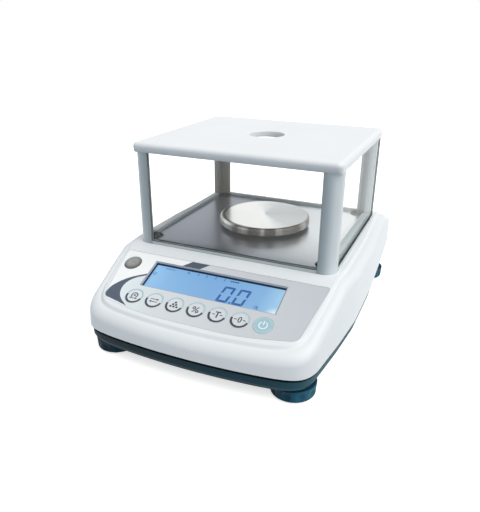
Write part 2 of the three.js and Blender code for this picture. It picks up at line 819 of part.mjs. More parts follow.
// Weighing pan, its support, and the pin that the load cell's arm carries
function weighingPan() {
  const under = pan.top - pan.sheet;
  const low = pan.top - pan.skirt;
  const round = [Math.PI / 2, Math.PI / 4, 0].map((turn) => [
    pan.radius - pan.edge + pan.edge * Math.cos(turn),
    pan.top - pan.edge + pan.edge * Math.sin(turn),
  ]);
  const inner = pan.radius - pan.sheet;
  place('weighing_pan', turned([
    [0, pan.top], ...round, [pan.radius, low], [inner, low],
    [inner, under - pan.sheet], [inner - pan.sheet, under], [0, under],
  ], 0, panCentre, fine + coarse), 'steel');

  const { supportRadius, supportRim, hubRadius, hubFoot, rib } = pan;
  const bore = pan.pinRadius + fitGap;
  const hub = turned([
    [bore, hubFoot], [hubRadius, hubFoot], [hubRadius, low], [hubRadius + supportRim, under - 2 * rib],
    [supportRadius - rib, under - 2 * rib], [supportRadius - rib, under - 2 * supportRim],
    [supportRadius, under - 2 * supportRim], [supportRadius, under], [0, under], [0, pan.boreTop],
    [pan.pinTip + fitGap, pan.boreTop], [bore, pan.boreTop - pan.pinRadius], [bore, hubFoot],
  ], 0, panCentre);
  place('pan_support', hub, 'blackPlastic');

  const foot0 = cell.top + cell.armFoot + cell.armThick + pan.pinGap;
  const tip = pan.boreTop;
  place('pan_pin', turned([
    [0, foot0], [pan.pinRadius + cell.armFoot, foot0],
    [pan.pinRadius + cell.armFoot, foot0 + cell.armFoot], [pan.pinRadius, foot0 + cell.armFoot],
    [pan.pinRadius, tip - pan.pinRadius], [pan.pinTip, tip], [0, tip],
  ], 0, panCentre), 'steel');
}

// Load cell: an aluminium bending beam with its double bore, arm, mount, bolts and overload stop
function loadCell() {
  const ends = around(panCentre, cell.halfLength);
  const width = around(0, cell.halfWidth);
  const middle = (cell.bottom + cell.top) / 2;
  const hole = (y) => {
    const drill = new THREE.CylinderGeometry(cell.holeRadius, cell.holeRadius,
      2 * (cell.halfWidth + overrun), medium);
    return solid(drill.rotateZ(Math.PI / 2).translate(0, y, middle));
  };
  const slot = block(around(0, cell.halfWidth + overrun), around(panCentre, cell.holeSpread),
    around(middle, cell.web));
  const beam = cut(block(width, ends, [cell.bottom, cell.top]),
    hole(panCentre - cell.holeSpread), hole(panCentre + cell.holeSpread), slot);
  const boltPlaces = [-1, 1].map((side) => ends[1] - cell.endPad / 2 + side * cell.boltSpread / 2);
  const clearBolt = cell.boltRadius + fitGap;
  let drilled = beam;
  for (const y of boltPlaces) {
    drilled = cut(drilled, drum(clearBolt, 0, cell.top - cell.endPad / 4, 0, y, coarse));
  }
  place('load_cell', drilled, 'aluminium');

  let mount = block(around(0, cell.mountHalf), [ends[1] - cell.endPad, ends[1]], [floorTop, cell.bottom]);
  for (const y of boltPlaces) {
    mount = cut(mount, drum(clearBolt, 0, cell.top, 0, y, coarse),
      drum(cell.boltHead + fitGap, 0, floorTop + cell.boltHeadDepth, 0, y));
  }
  place('load_cell_mount', mount, 'aluminium');
  boltPlaces.forEach((y, i) => {
    place(`load_cell_bolt_${i + 1}`, turned([
      [0, floorTop], [cell.boltHead, floorTop], [cell.boltHead, floorTop + cell.boltHeadDepth - fitGap],
      [cell.boltRadius, floorTop + cell.boltHeadDepth - fitGap],
      [cell.boltRadius, cell.top - cell.endPad / 2], [0, cell.top - cell.endPad / 2],
    ], 0, y, coarse), 'steel');
  });

  const armLow = cell.top + cell.armFoot;
  const armProfile = roundedShape([
    [ends[0], cell.top, 0],
    [ends[0] + cell.endPad, cell.top, 0],
    [ends[0] + cell.endPad, armLow, 0],
    [panCentre + cell.armReach, armLow, 0],
    [panCentre + cell.armReach, armLow + cell.armThick, cell.armFoot],
    [ends[0], armLow + cell.armThick, cell.armFoot],
  ]);
  const arm = new THREE.ExtrudeGeometry(armProfile, { depth: 2 * cell.armHalf, bevelEnabled: false });
  arm.translate(0, 0, -cell.armHalf).rotateX(Math.PI / 2).rotateZ(Math.PI / 2);
  place('load_arm', solid(arm), 'aluminium');

  const stopTop = cell.bottom - cell.stopGap;
  place('overload_stop', turned([
    [0, floorTop], [cell.stopHead, floorTop], [cell.stopHead, floorTop + cell.stopHeadRise],
    [cell.stopRadius, floorTop + cell.stopHeadRise], [cell.stopRadius, stopTop], [0, stopTop],
  ], 0, ends[0] + cell.endPad / 2, coarse), 'steel');
}

// Main board with its parts, the data port and the power inlet at the rear
function electronics() {
  const { halfWidth, front, rear, canHalf, canRise, chipHalf, chipRise, capRadius, capRise } = board;
  const middle = (front + rear) / 2;
  let sheet = block(around(0, halfWidth), [front, rear], [boardBottom, boardTop]);
  sheet = join(sheet,
    block(around(-halfWidth / 2, canHalf), around(middle - canHalf, canHalf),
      [boardBottom, boardTop + canRise]),
    block(around(halfWidth / 3, chipHalf), around(middle, chipHalf),
      [boardBottom, boardTop + chipRise]));
  for (const [i, x] of [halfWidth / 2, halfWidth / 2 + 3 * capRadius].entries()) {
    sheet = join(sheet, drum(capRadius, boardBottom, boardTop + capRise - i * capRadius, x,
      front + 3 * capRadius, coarse));
  }
  place('main_board', sheet, 'circuit');

  const shell = roundedBox([port.x - port.halfShell, port.x + port.halfShell],
    around(portCentre, port.halfShellHeight), [port.shellCorner, port.shellCorner]);
  const { shellWall } = port;
  const well = roundedBox([port.x - port.halfShell + shellWall, port.x + port.halfShell - shellWall],
    around(portCentre, port.halfShellHeight - shellWall),
    [port.shellCorner - shellWall, port.shellCorner - shellWall]);
  const upright = (shape, from, to) => {
    const depth = to - from;
    const geometry = new THREE.ExtrudeGeometry(shape, { depth, bevelEnabled: false, curveSegments: 2 });
    return solid(geometry.rotateX(Math.PI / 2).translate(0, to, 0));
  };
  const flangeFace = portFace - port.shellReach;
  const bodyRear = [flangeFace - port.flange - port.bodyDepth, flangeFace - port.flange];
  const data = cut(join(
    upright(shell, flangeFace - port.flange, portFace),
    block(around(port.x, port.halfFlange), [flangeFace - port.flange, flangeFace],
      around(portCentre, port.halfFlangeHeight)),
    block(around(port.x, port.halfShell), bodyRear, around(portCentre, port.halfFlangeHeight)),
  ), upright(well, flangeFace - port.flange, portFace + overrun));
  place('data_port', data, 'steel');

  const centre = boardTop + jack.height / 2;
  const drill = (radius, from, to) => {
    const geometry = new THREE.CylinderGeometry(radius, radius, to - from, medium);
    return solid(geometry.translate(jack.x, (from + to) / 2, centre));
  };
  const inlet = join(cut(
    block(around(jack.x, jack.halfWidth), [jackFace - jack.depth, jackFace],
      [boardTop, boardTop + jack.height]),
    drill(jack.socket, jackFace - jack.socketDepth, jackFace + overrun),
  ), drill(jack.pin, jackFace - jack.socketDepth - jack.pin, jackFace - jack.pin));
  place('power_jack', inlet, 'blackPlastic');
}

// Draft shield frame: sunk floor ring with pane slots, raised rails and four posts
function shieldFrame() {
  const { halfWidth, front, rear, railTop, railInner, rearInner, lip, slot, lipTop, slotFloor } = shield;
  const { post, postRear, postTop, grooveDepth, padTop, cornerFront, cornerRear } = shield;
  const insideFront = front + postWall;
  const above = [lipTop, railTop + overrun];
  let ring = prism(roundedBox([-halfWidth, halfWidth], [front, rear], [cornerFront, cornerRear]),
    deckFloor, railTop);
  ring = cut(ring, prism(roundedBox([-railInner, railInner], [insideFront, rearInner],
    [plate.corner, plate.corner]), deckFloor - overrun, railTop + overrun, 3));
  const low = [shield.frontTop, railTop + overrun];
  const corner = [padTop, railTop + overrun];
  const outside = halfWidth + overrun;
  ring = cut(ring, block(around(0, halfWidth - post), [front - overrun, insideFront], low));
  ring = cut(ring, block(around(0, outside), [front - overrun, front + post + lip], corner));
  ring = cut(ring, block(around(0, outside), [rear - postRear - lip, rear + overrun], corner)
    .subtract(block(around(0, rearPostSide - postRear), [0, rear + overrun], corner)));
  const slotOut = slotIn + slot;
  for (const side of [-1, 1]) {
    ring = cut(ring,
      block(outward(side, slotIn, slotOut), [front + post - grooveDepth, rear + overrun],
        [slotFloor, railTop + overrun]),
      block(outward(side, slotOut - lip / 4, outside), [front + post, rear + overrun], above));
  }
  const backSlot = [rear - lip - slot, rear - lip];
  const frontSlot = [front + lip, front + lip + slot];
  ring = cut(ring,
    block(around(0, rearPostSide), backSlot, [slotFloor, railTop + overrun]),
    block(around(0, rearPostSide), [backSlot[1] - lip / 4, rear + overrun], above),
    block(around(0, halfWidth - post + grooveDepth), frontSlot, [slotFloor, railTop + overrun]));

  for (const plug of plugs) {
    const edge = plug.y < 0 ? halfWidth - postWall : rearPostSide - postWall;
    ring = join(ring, drum(shield.plugRadius + shield.padRim, deckFloor, padTop, plug.x, plug.y),
      block(outward(plug.side, Math.abs(plug.x), edge + lip), plug.cornerY, [deckFloor, padTop]));
    ring = cut(ring, drum(shield.plugRadius + shield.padRim, padTop, railTop + overrun, plug.x, plug.y));
    ring = cut(ring, drum(shield.plugStem + fitGap, padTop - shield.plugStemDepth - fitGap,
      padTop + overrun, plug.x, plug.y, coarse));
  }
  for (const side of [-1, 1]) {
    const whole = prism(roundedBox([-halfWidth, halfWidth], [front, rear], [cornerFront, cornerRear]),
      deckFloor, postTop);
    const frontCorner = block(outward(side, halfWidth - post, outside), [front - overrun, front + post],
      [deckFloor, postTop]);
    const hollow = block(outward(side, 0, halfWidth - postWall), [insideFront, front + post + overrun],
      [deckFloor - overrun, postTop + overrun]);
    let frontPost = cut(whole.intersect(frontCorner), hollow);
    frontPost = cut(frontPost,
      block(outward(side, 0, halfWidth - post + grooveDepth), frontSlot, [slotFloor, postTop + overrun]),
      block(outward(side, slotIn, slotOut), [front + post - grooveDepth, front + post + overrun],
        [slotFloor, postTop + overrun]));
    const rearCorner = block(outward(side, rearPostSide - postRear, rearPostSide), [rear - postRear, rear],
      [deckFloor, postTop]);
    const rearHollow = block(outward(side, 0, rearPostSide - postWall), [0, rear - postWall],
      [deckFloor - overrun, postTop + overrun]);
    const rearPost = cut(rearCorner, rearHollow,
      block(outward(side, 0, rearPostSide - postRear + grooveDepth), backSlot, [slotFloor, postTop + overrun]));
    ring = join(ring, frontPost, rearPost);
  }
  place('shield_frame', ring, 'greyFrame');

  for (const plug of plugs) {
    const { plugRadius, plugRise, plugStem, plugStemDepth } = shield;
    place(`corner_plug_${plug.name}`, join(
      drum(plugRadius, padTop, padTop + plugRise, plug.x, plug.y),
      drum(plugStem, padTop - plugStemDepth, padTop + lip, plug.x, plug.y, coarse),
    ), 'rubber');
  }
}

function shieldPanes() {
  const { halfWidth, front, rear, lip, post, postRear, grooveDepth, slotFloor } = shield;
  const height = [slotFloor, lid.bottom];
  const seat = pane.seatGap;
  const inGroove = grooveDepth - seat;
  const frontFace = front + lip + seat;
  const backFace = rear - lip - seat;
  const sideFace = halfWidth - lip - seat;
  place('pane_front', block(around(0, halfWidth - post + inGroove),
    [frontFace, frontFace + pane.sheet], height), 'glass');
  place('pane_back', block(around(0, rearPostSide - postRear + inGroove),
    [backFace - pane.sheet, backFace], height), 'glass');
  const length = [front + post - inGroove, rear];
  place('pane_left', block([-sideFace, pane.sheet - sideFace], length, height), 'glass');
  place('pane_right', block([sideFace - pane.sheet, sideFace], length, height), 'glass');
}

// Lid ring: a rounded rectangle seen as its right half, front to rear
function lidRing(inset, z) {
  const halfWidth = shield.halfWidth + lid.overhang - inset;
  const front = shield.front - lid.overhang + inset;
  const rear = shield.rear + lid.overhang - inset;
  const radius = Math.max(lid.corner - inset, lid.rib);
  const ring = [new THREE.Vector3(0, front, z)];
  const steps = 4;
  for (const [y, start] of [[front + radius, -Math.PI / 2], [rear - radius, 0]]) {
    for (let i = 0; i <= steps; i += 1) {
      const turn = start + (i * Math.PI) / 2 / steps;
      const x = halfWidth - radius + radius * Math.cos(turn);
      ring.push(new THREE.Vector3(x, y + radius * Math.sin(turn), z));
    }
  }
  ring.push(new THREE.Vector3(0, rear, z));
  return ring;
}

// Lid: a shallow moulded cap with a soft edge, a finger hole over the pan and locating ribs
function shieldLid() {
  const roofUnder = lid.top - lid.roof;
  const rings = [lidRing(lid.wall + lid.draft, roofUnder), lidRing(lid.wall, lid.bottom),
    lidRing(lid.draft, lid.bottom), lidRing(0, lid.edgeTop)];
  for (const turn of [Math.PI / 8, Math.PI / 4, 0.375 * Math.PI, Math.PI / 2]) {
    rings.push(lidRing(lid.edge * (1 - Math.cos(turn)),
      lid.edgeTop + (lid.top - lid.edgeTop) * Math.sin(turn)));
  }
  let body = loft(rings);
  body = join(body, drum(lid.holeRadius + lid.collar, roofUnder - lid.collarDrop,
    lid.top - lid.roof / 2, 0, panCentre, fine));
  body = cut(body, drum(lid.holeRadius, lid.bottom, lid.top + overrun, 0, panCentre, fine));

  const low = [lid.bottom - lid.ribDrop, lid.top - lid.roof / 2];
  const side = shield.halfWidth - postWall - runningGap;
  const insideFront = shield.front + postWall + runningGap;
  const insideRear = shield.rear - postWall - runningGap;
  const half = (insideRear - insideFront) / 2;
  const middle = (insideRear + insideFront) / 2;
  const alongX = around(0, side * lid.ribHalfShare);
  const alongY = around(middle, half * lid.ribHalfShare);
  body = join(body,
    block([-side, lid.rib - side], alongY, low),
    block([side - lid.rib, side], alongY, low),
    block(alongX, [insideFront, insideFront + lid.rib], low),
    block(alongX, [insideRear - lid.rib, insideRear], low));
  place('shield_lid', body, 'whiteShell');
}

// Levelling foot: each has its pad, knob, stud and the insert it turns in
function levellingFeet() {
  const knobTop = base.underside - runningGap;
  for (const { name, x, y } of feet) {
    place(`foot_pad_${name}`, join(
      drum(foot.padRadius, 0, foot.padHeight, x, y),
      drum(foot.padNeck, foot.padHeight / 2, foot.padHeight + foot.padNeckRise, x, y, coarse),
    ), 'rubber');

    const low = foot.padHeight;
    let knob = cut(turned([
      [0, low], [foot.soleRadius - foot.soleEdge, low], [foot.soleRadius, low + foot.soleEdge],
      [foot.radius, knobTop], [0, knobTop],
    ], x, y, 2 * foot.dimples),
    drum(foot.padNeck + foot.turnGap, 0, foot.studSeat, x, y, coarse),
    drum(foot.studRadius, 0, base.underside, x, y, coarse));
    for (let i = 0; i < foot.dimples; i += 1) {
      const turn = (2 * Math.PI * (i + 0.5)) / foot.dimples;
      const scoop = new THREE.CylinderGeometry(foot.dimpleRadius, foot.dimpleFloor,
        foot.dimpleReach, foot.dimpleSides);
      scoop.rotateZ(-Math.PI / 2).translate(foot.radius, 0, (low + knobTop) / 2).rotateZ(turn);
      knob = cut(knob, solid(scoop.translate(x, y, 0)));
    }
    place(`foot_knob_${name}`, knob, 'darkShell');

    place(`foot_stud_${name}`, turned([
      [0, foot.studSeat], [foot.studRadius, foot.studSeat],
      [foot.studRadius, foot.studTop - foot.soleEdge],
      [foot.studRadius - foot.soleEdge, foot.studTop], [0, foot.studTop],
    ], x, y, coarse), 'steel');

    const seat = base.underside + fitGap;
    const bore = foot.studRadius + foot.turnGap;
    place(`foot_insert_${name}`, turned([
      [bore, seat], [foot.insertRadius, seat], [foot.insertRadius, seat + foot.insertRise],
      [bore, seat + foot.insertRise], [bore, seat],
    ], x, y, coarse), 'brass');
  }
}

function housingScrews() {
  for (const { name, x, y } of coverScrews) {
    const head = base.underside + base.screwHeadDepth;
    const tip = partingHeight + base.lipRise + 2 * base.screwBoss;
    const neck = partingHeight + base.lipRise - base.seam;
    place(`cover_screw_${name}`, turned([
      [0, head - base.screwShank], [base.screwHead, head - base.screwShank], [base.screwHead, head],
      [base.screwShank, head], [base.screwShank, neck],
      [housing.screwPilot - fitGap / 2, neck], [housing.screwPilot - fitGap / 2, tip], [0, tip],
    ], x, y, coarse), 'steel');
  }
}

upperHousing();
lowerBase();
controlPanel();
spiritLevel();
splashPlate();
weighingPan();
loadCell();
electronics();
shieldFrame();
shieldPanes();
shieldLid();
levellingFeet();
housingScrews();

export default balance;
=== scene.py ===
"""Looks of the electronic balance: moulded housing, printed panel, lit display, steel pan, draft shield."""
import math

import bmesh
import bpy
from mathutils import Matrix, Vector


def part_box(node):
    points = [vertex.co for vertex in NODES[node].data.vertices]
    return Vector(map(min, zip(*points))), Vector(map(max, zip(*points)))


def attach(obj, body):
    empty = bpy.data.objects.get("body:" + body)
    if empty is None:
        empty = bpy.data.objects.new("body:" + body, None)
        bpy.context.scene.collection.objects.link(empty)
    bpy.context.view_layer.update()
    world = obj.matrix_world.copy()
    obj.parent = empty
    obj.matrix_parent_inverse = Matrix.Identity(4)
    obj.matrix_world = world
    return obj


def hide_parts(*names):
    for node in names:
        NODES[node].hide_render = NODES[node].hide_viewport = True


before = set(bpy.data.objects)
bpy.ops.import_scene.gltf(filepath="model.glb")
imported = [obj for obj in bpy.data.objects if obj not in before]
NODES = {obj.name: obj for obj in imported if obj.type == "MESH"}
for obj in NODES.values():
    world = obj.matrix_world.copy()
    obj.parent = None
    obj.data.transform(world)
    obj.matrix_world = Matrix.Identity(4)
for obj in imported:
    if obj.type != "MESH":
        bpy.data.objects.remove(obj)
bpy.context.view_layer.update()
MM = 0.001
CORNERS = ("front_left", "front_right", "rear_left", "rear_right")


def edges_of(node):
    """The lowest and highest corner of a node, in millimetres."""
    low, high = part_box(node)
    return low / MM, high / MM


def middle_of(node):
    """Where the upright middle line of a node stands, in millimetres."""
    low, high = edges_of(node)
    return (low.x + high.x) / 2, (low.y + high.y) / 2


# Sizes in millimetres: from the frame where a node gives them, and otherwise named here
HOUSING_LOW, HOUSING_HIGH = edges_of("upper_housing")
BASE_LOW, BASE_HIGH = edges_of("lower_base")
LID_LOW, LID_HIGH = edges_of("shield_lid")
FRAME_LOW, FRAME_HIGH = edges_of("shield_frame")
PLATE_LOW, PLATE_HIGH = edges_of("splash_plate")
PAN_LOW, PAN_HIGH = edges_of("weighing_pan")
VIAL_LOW, VIAL_HIGH = edges_of("level_vial")
HALF_WIDTH, HALF_LENGTH, PARTING = HOUSING_HIGH.x, HOUSING_HIGH.y, HOUSING_LOW.z
PAN_Y = (PAN_LOW.y + PAN_HIGH.y) / 2
# Plan and slopes of the housing
DECK, TILT = 67.5, math.radians(21.03)
FRONT_BREAK, REAR_BREAK, BREAK_BLEND, REAR_FALL = -84.8, 83.0, 1.5, 0.325
CORNER_POWER, FRONT_BOW = 12, 9
FRONT_TAPER_FROM, FRONT_TAPER, REAR_TAPER = 60, 0.00085, 0.00048
CORNER_START, CORNER_STEPS = math.radians(24), 30
CORNER_SHARES = (0.62, 0.52, 0.42, 0.32, 0.21, 0.1, 0)
SIDE_STATIONS = [FRONT_BREAK - 14, FRONT_BREAK - 7, -76, -68, -60, -40, -20, 0, 20, 40, 60, 95, 108, 120]
# Fits and walls
FIT, OVERRUN, SEAM, GROOVE = 0.25, 5, 0.3, 20.9
WALL, DRAFT, SHOULDER, LEDGE, CHAMFER, ROOF_IN = 3, 0.5, 6.5, 2, 7, 12
PLATEAU_INSETS, PLATEAU_LIP = (8.6, 7.1, 9.6), 2.2
DECK_FLOOR, FRONT_RAIL = DECK - 1.2, DECK + 2.5
LID_EDGE_LOW = 143.2
COLLAR, COLLAR_BORE, COLLAR_TOP = 13, 10, HOUSING_HIGH.z
FRAME_FRONT_CORNER, FRAME_REAR_CORNER, PLUG_SEAT = 9, 3, 69.9
# Panel: x to the right, s up the slope, h out of it
POCKET, FILM = 0.6, 0.5
FILM_TOP, INK, APART, PRINT_MARGIN = FILM - POCKET, 0.04, 0.01, 0.15
HALF_TOP, HALF_FOOT, FILM_HEAD, FILM_SIDE_FOOT, FILM_BOW = 85.2, 77.2, -9.2, -60.7, -68.2
WINDOW_X, WINDOW_S, WINDOW_HALF_X, WINDOW_HALF_S = 0.3, -29.1, 55.5, 13.7
WINDOW_RIM, BEZEL_FLANGE, LCD_FACE = 1.1, 1.7, -3.4
MARK_H = LCD_FACE + 0.02
KEY_NAMES = ["print", "mode", "count", "percent", "tare", "zero", "power"]
KEY_X, KEY_PITCH, KEY_S, KEY_RADIUS, KEY_PROUD, KEY_GAP = -53.1, 17.28, -53.9, 7.2, 0.02, 0.1
KEY_FLANGE, KEY_FLANGE_TOP, KEY_FLANGE_UNDER, KEY_POCKET = 8, -0.9, -1.6, -2.35
KEY_STEM, KEY_STEM_END, KEY_BORE_TOP, THROUGH = 3, -3.2, -2, -WALL - OVERRUN
VIAL_X, VIAL_S, VIAL_RADIUS = -73.4, -22.2, 7
ROUND = 96


# Forms
def on_panel(x, s, h=0.0):
    """A point of the sloping panel: x to the right, s up the slope from its upper edge, h out of it."""
    return Vector((x, FRONT_BREAK + s * math.cos(TILT) - h * math.sin(TILT),
                   DECK + s * math.sin(TILT) + h * math.cos(TILT)))


def upright(x, y, z):
    return Vector((x, y, z))


def body_of(name, points, faces):
    """A mesh object from points in millimetres, with its faces turned outwards."""
    mesh = bpy.data.meshes.new(name)
    mesh.from_pydata([tuple(p * MM) for p in points], [], faces)
    mesh.validate()
    form = bmesh.new()
    form.from_mesh(mesh)
    bmesh.ops.recalc_face_normals(form, faces=form.faces)
    form.to_mesh(mesh)
    form.free()
    item = bpy.data.objects.new(name, mesh)
    bpy.context.scene.collection.objects.link(item)
    return item


def loft(name, rings):
    """A skin through rings that mirror left to right, with strips as caps."""
    count = len(rings[0])
    last = (len(rings) - 1) * count
    faces = []
    for low in range(0, last, count):
        for i in range(count):
            j = (i + 1) % count
            faces.append((low + i, low + j, low + count + j, low + count + i))
    for i in range(count // 2):
        for start in (0, last):
            strip = (start + i, start + i + 1, start + (count - i - 1) % count, start + (count - i) % count)
            faces.append(tuple(dict.fromkeys(strip)))
    return body_of(name, [p for ring in rings for p in ring], faces)


def turned(name, profile, x=0.0, y=0.0, sides=ROUND, place=upright):
    """A profile of (radius, height) turned round an axis; it starts and ends on the axis, or closes."""
    points, rows, faces = [], [], []
    for radius, height in profile:
        if radius == 0:
            rows.append([len(points)] * sides)
            points.append(place(x, y, height))
            continue
        rows.append([len(points) + i for i in range(sides)])
        for i in range(sides):
            turn = math.tau * i / sides
            points.append(place(x + radius * math.cos(turn), y + radius * math.sin(turn), height))
    pairs = list(zip(rows, rows[1:]))
    if profile[0][0] > 0:
        pairs.append((rows[-1], rows[0]))
    for low, high in pairs:
        for i in range(sides):
            j = (i + 1) % sides
            face = tuple(dict.fromkeys([low[i], low[j], high[j], high[i]]))
            if len(face) > 2:
                faces.append(face)
    return body_of(name, points, faces)


def drum(radius, low, high, x=0.0, y=0.0, sides=ROUND, place=upright):
    return turned("drum", [(0, low), (radius, low), (radius, high), (0, high)], x, y, sides, place)


def prism(name, outline, low, high, place=upright):
    count = len(outline)
    points = [place(x, y, z) for z in (low, high) for x, y in outline]
    faces = [tuple(range(count))[::-1], tuple(range(count, 2 * count))]
    for i in range(count):
        j = (i + 1) % count
        faces.append((i, j, count + j, count + i))
    return body_of(name, points, faces)


def block(x, y, z, place=upright):
    return prism("block", [(x[0], y[0]), (x[1], y[0]), (x[1], y[1]), (x[0], y[1])], *z, place)


def around(centre, half):
    return centre - half, centre + half


def rounded(points, steps=10):
    """An outline with arcs at its corners; a point is (x, y, distance from the corner to the arc's ends)."""
    outline = []
    for i, (x, y, reach) in enumerate(points):
        corner = Vector((x, y))
        before = (Vector(points[i - 1][:2]) - corner).normalized()
        after = (Vector(points[(i + 1) % len(points)][:2]) - corner).normalized()
        weight = math.sin(before.angle(after) / 2)
        for k in range(steps + 1):
            t = k / steps
            shares = ((1 - t) ** 2, 2 * weight * t * (1 - t), t * t)
            ends = (corner + before * reach, corner, corner + after * reach)
            point = sum((end * share for end, share in zip(ends, shares)), Vector((0, 0))) / sum(shares)
            outline.append((point.x, point.y))
    return outline


def rounded_box(x, y, front_radius, rear_radius):
    return rounded([(x[0], y[0], front_radius), (x[1], y[0], front_radius),
                    (x[1], y[1], rear_radius), (x[0], y[1], rear_radius)])


def arc(radius, start, end, steps, x=0.0, y=0.0):
    """Points along an arc between two angles in degrees."""
    turns = [math.radians(start + (end - start) * i / steps) for i in range(steps + 1)]
    return [(x + radius * math.cos(turn), y + radius * math.sin(turn)) for turn in turns]


def combine(target, others, how="DIFFERENCE"):
    """Cuts the other forms from the target, joins them to it or keeps what they share, and removes them."""
    for other in others:
        change = target.modifiers.new("form", "BOOLEAN")
        change.operation, change.object, change.solver = how, other, "EXACT"
        settle(target)
        bpy.data.meshes.remove(other.data)
    return target


def one_of(forms):
    """Several forms as one object."""
    form = bmesh.new()
    for item in forms:
        form.from_mesh(item.data)
        bpy.data.meshes.remove(item.data)
    mesh = bpy.data.meshes.new("joined")
    form.to_mesh(mesh)
    form.free()
    item = bpy.data.objects.new("joined", mesh)
    bpy.context.scene.collection.objects.link(item)
    return item


def settle(item):
    """Makes the modifiers of an object part of its mesh."""
    view = bpy.context.evaluated_depsgraph_get()
    done = bpy.data.meshes.new_from_object(item.evaluated_get(view))
    old = item.data
    item.modifiers.clear()
    item.data = done
    bpy.data.meshes.remove(old)


def soften(item, edge, angle):
    """Rounds the sharp edges by a real radius and shades the rest smooth."""
    if edge:
        bevel = item.modifiers.new("edge", "BEVEL")
        bevel.width, bevel.segments, bevel.angle_limit = edge * MM, 2, math.radians(angle)
        bevel.limit_method, bevel.use_clamp_overlap, bevel.miter_outer = "ANGLE", True, "MITER_ARC"
        settle(item)
    form = bmesh.new()
    form.from_mesh(item.data)
    for face in form.faces:
        face.smooth = True
    for line in form.edges:
        line.smooth = len(line.link_faces) == 2 and line.calc_face_angle(0) < math.radians(angle)
    form.to_mesh(item.data)
    form.free()
    item.modifiers.new("shading", "WEIGHTED_NORMAL").keep_sharp = True


def finish_piece(item, name, materials, stands_for=(), body="housing", edge=0.0, angle=38):
    """Names a piece, gives it its finish, and lets it ride on its body in place of its nodes."""
    soften(item, edge, angle)
    item.name = item.data.name = name
    for material in materials if isinstance(materials, list) else [materials]:
        item.data.materials.append(material)
    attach(item, body)
    if stands_for:
        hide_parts(*stands_for)
    return item


# Colours and materials
def linear(code):
    """An sRGB hex colour as the linear colour that the shaders take."""
    values = [int(code[i:i + 2], 16) / 255 for i in (1, 3, 5)]
    return [v / 12.92 if v <= 0.04045 else ((v + 0.055) / 1.055) ** 2.4 for v in values] + [1]


def add(tree, kind, settings=None, links=None):
    """Adds a node, sets its properties, sockets and colour stops, and links sockets to nodes or outputs."""
    node = tree.nodes.new("ShaderNode" + kind)
    for key, value in (settings or {}).items():
        if key == "stops":
            elements = node.color_ramp.elements
            while len(elements) < len(value):
                elements.new(1)
            for element, (spot, colour) in zip(elements, value):
                element.position, element.color = spot, linear(colour)
        elif isinstance(key, int) or key in node.inputs:
            node.inputs[key].default_value = value
        else:
            setattr(node, key, value)
    for key, source in (links or {}).items():
        if isinstance(source, bpy.types.Node):
            source = next(output for output in source.outputs if output.enabled)
        tree.links.new(source, node.inputs[key])
    return node


def new_material(name):
    material = bpy.data.materials.new(name)
    material.use_nodes = True
    tree = material.node_tree
    tree.nodes.clear()
    return material, tree, add(tree, "TexCoord").outputs["Object"]


def finished(material, tree, shader):
    add(tree, "OutputMaterial", links={"Surface": shader})
    return material


def textured(material, tree, tint, pattern, strength, depth, gloss, settings):
    """Gives a material its shader; a pattern raises the surface by a depth and varies its gloss."""
    bump = add(tree, "Bump", {"Strength": strength, "Distance": depth * MM}, {"Height": pattern})
    rough = add(tree, "MapRange", {"To Min": gloss[0], "To Max": gloss[1]}, {"Value": pattern})
    return finished(material, tree, add(tree, "BsdfPrincipled", settings, {
        "Base Color": tint, "Normal": bump, "Roughness": rough}))


def share_along(tree, vector, axis, start, end, unit=MM):
    """How far a vector reaches from start to end along an axis, from 0 to 1."""
    spot = add(tree, "SeparateXYZ", links={"Vector": vector}).outputs[axis]
    return add(tree, "MapRange", {"From Min": start * unit, "From Max": end * unit}, {"Value": spot})


def share_away(tree, place, centre, near, far):
    """How far a point lies from near to far round a centre, from 0 to 1."""
    away = add(tree, "VectorMath", {"operation": "DISTANCE", 1: centre * MM}, {0: place})
    return add(tree, "MapRange", {"From Min": near * MM, "From Max": far * MM}, {"Value": away})


def share_facing(tree, axis, start, end):
    """How far a surface is turned from one slant to another along an axis, from 0 to 1."""
    return share_along(tree, add(tree, "NewGeometry").outputs["Normal"], axis, start, end, 1)


def per_metre(size):
    """Noise scale at which one spot of the pattern is as wide as the size in millimetres."""
    return 1 / (size * MM)


# One colour shaded by another
SHADED = {"data_type": "RGBA", "blend_type": "MULTIPLY", 0: 1.0}


def post_painted_shade(tree, place):
    """Painted light and shade: posts and rails are painted pale at their outer side and greyer towards the
    chamber.
    """
    mirrored = add(tree, "VectorMath", {"operation": "ABSOLUTE"}, {0: place})
    return add(tree, "ValToRGB", {"stops": [
        (0.0, "#dde1e2"), (0.18, "#dde1e2"), (0.28, "#a4adb0"), (0.55, "#ccd4d8"), (0.8, "#f6fafc"),
        (1.0, "#ffffff")]}, {"Fac": share_along(tree, mirrored, "X", 66, 84)})


def lid_front_painted_shade(tree, place):
    """Painted shade: the lid's front edge, which faces away from the light, is painted greyer towards its
    foot.
    """
    low = share_along(tree, place, "Z", LID_HIGH.z, LID_EDGE_LOW)
    front = share_facing(tree, "Y", -0.25, -0.95)
    both = add(tree, "Math", {"operation": "MULTIPLY"}, {0: low, 1: front})
    return add(tree, "ValToRGB", {"stops": [
        (0.0, "#ffffff"), (0.5, "#e6e9eb"), (1.0, "#bec4c8")]}, {"Fac": both})


def painted_window_light(tree, place):
    """Painted light and shade: dark teal parts are painted bluer and paler where they face the window light,
    and darker at the far left.
    """
    bluer = add(tree, "ValToRGB", {"stops": [
        (0.0, "#6f8490"), (0.5, "#a0acb4"), (0.72, "#d4eef6"), (0.95, "#f8ffff")]},
        {"Fac": share_facing(tree, "X", -1, 1)})
    nearer = add(tree, "ValToRGB", {"stops": [(0.0, "#b2adaa"), (1.0, "#ffffff")]},
                 {"Fac": share_along(tree, place, "X", -85, 40)})
    return add(tree, "Mix", SHADED, {6: bluer, 7: nearer})


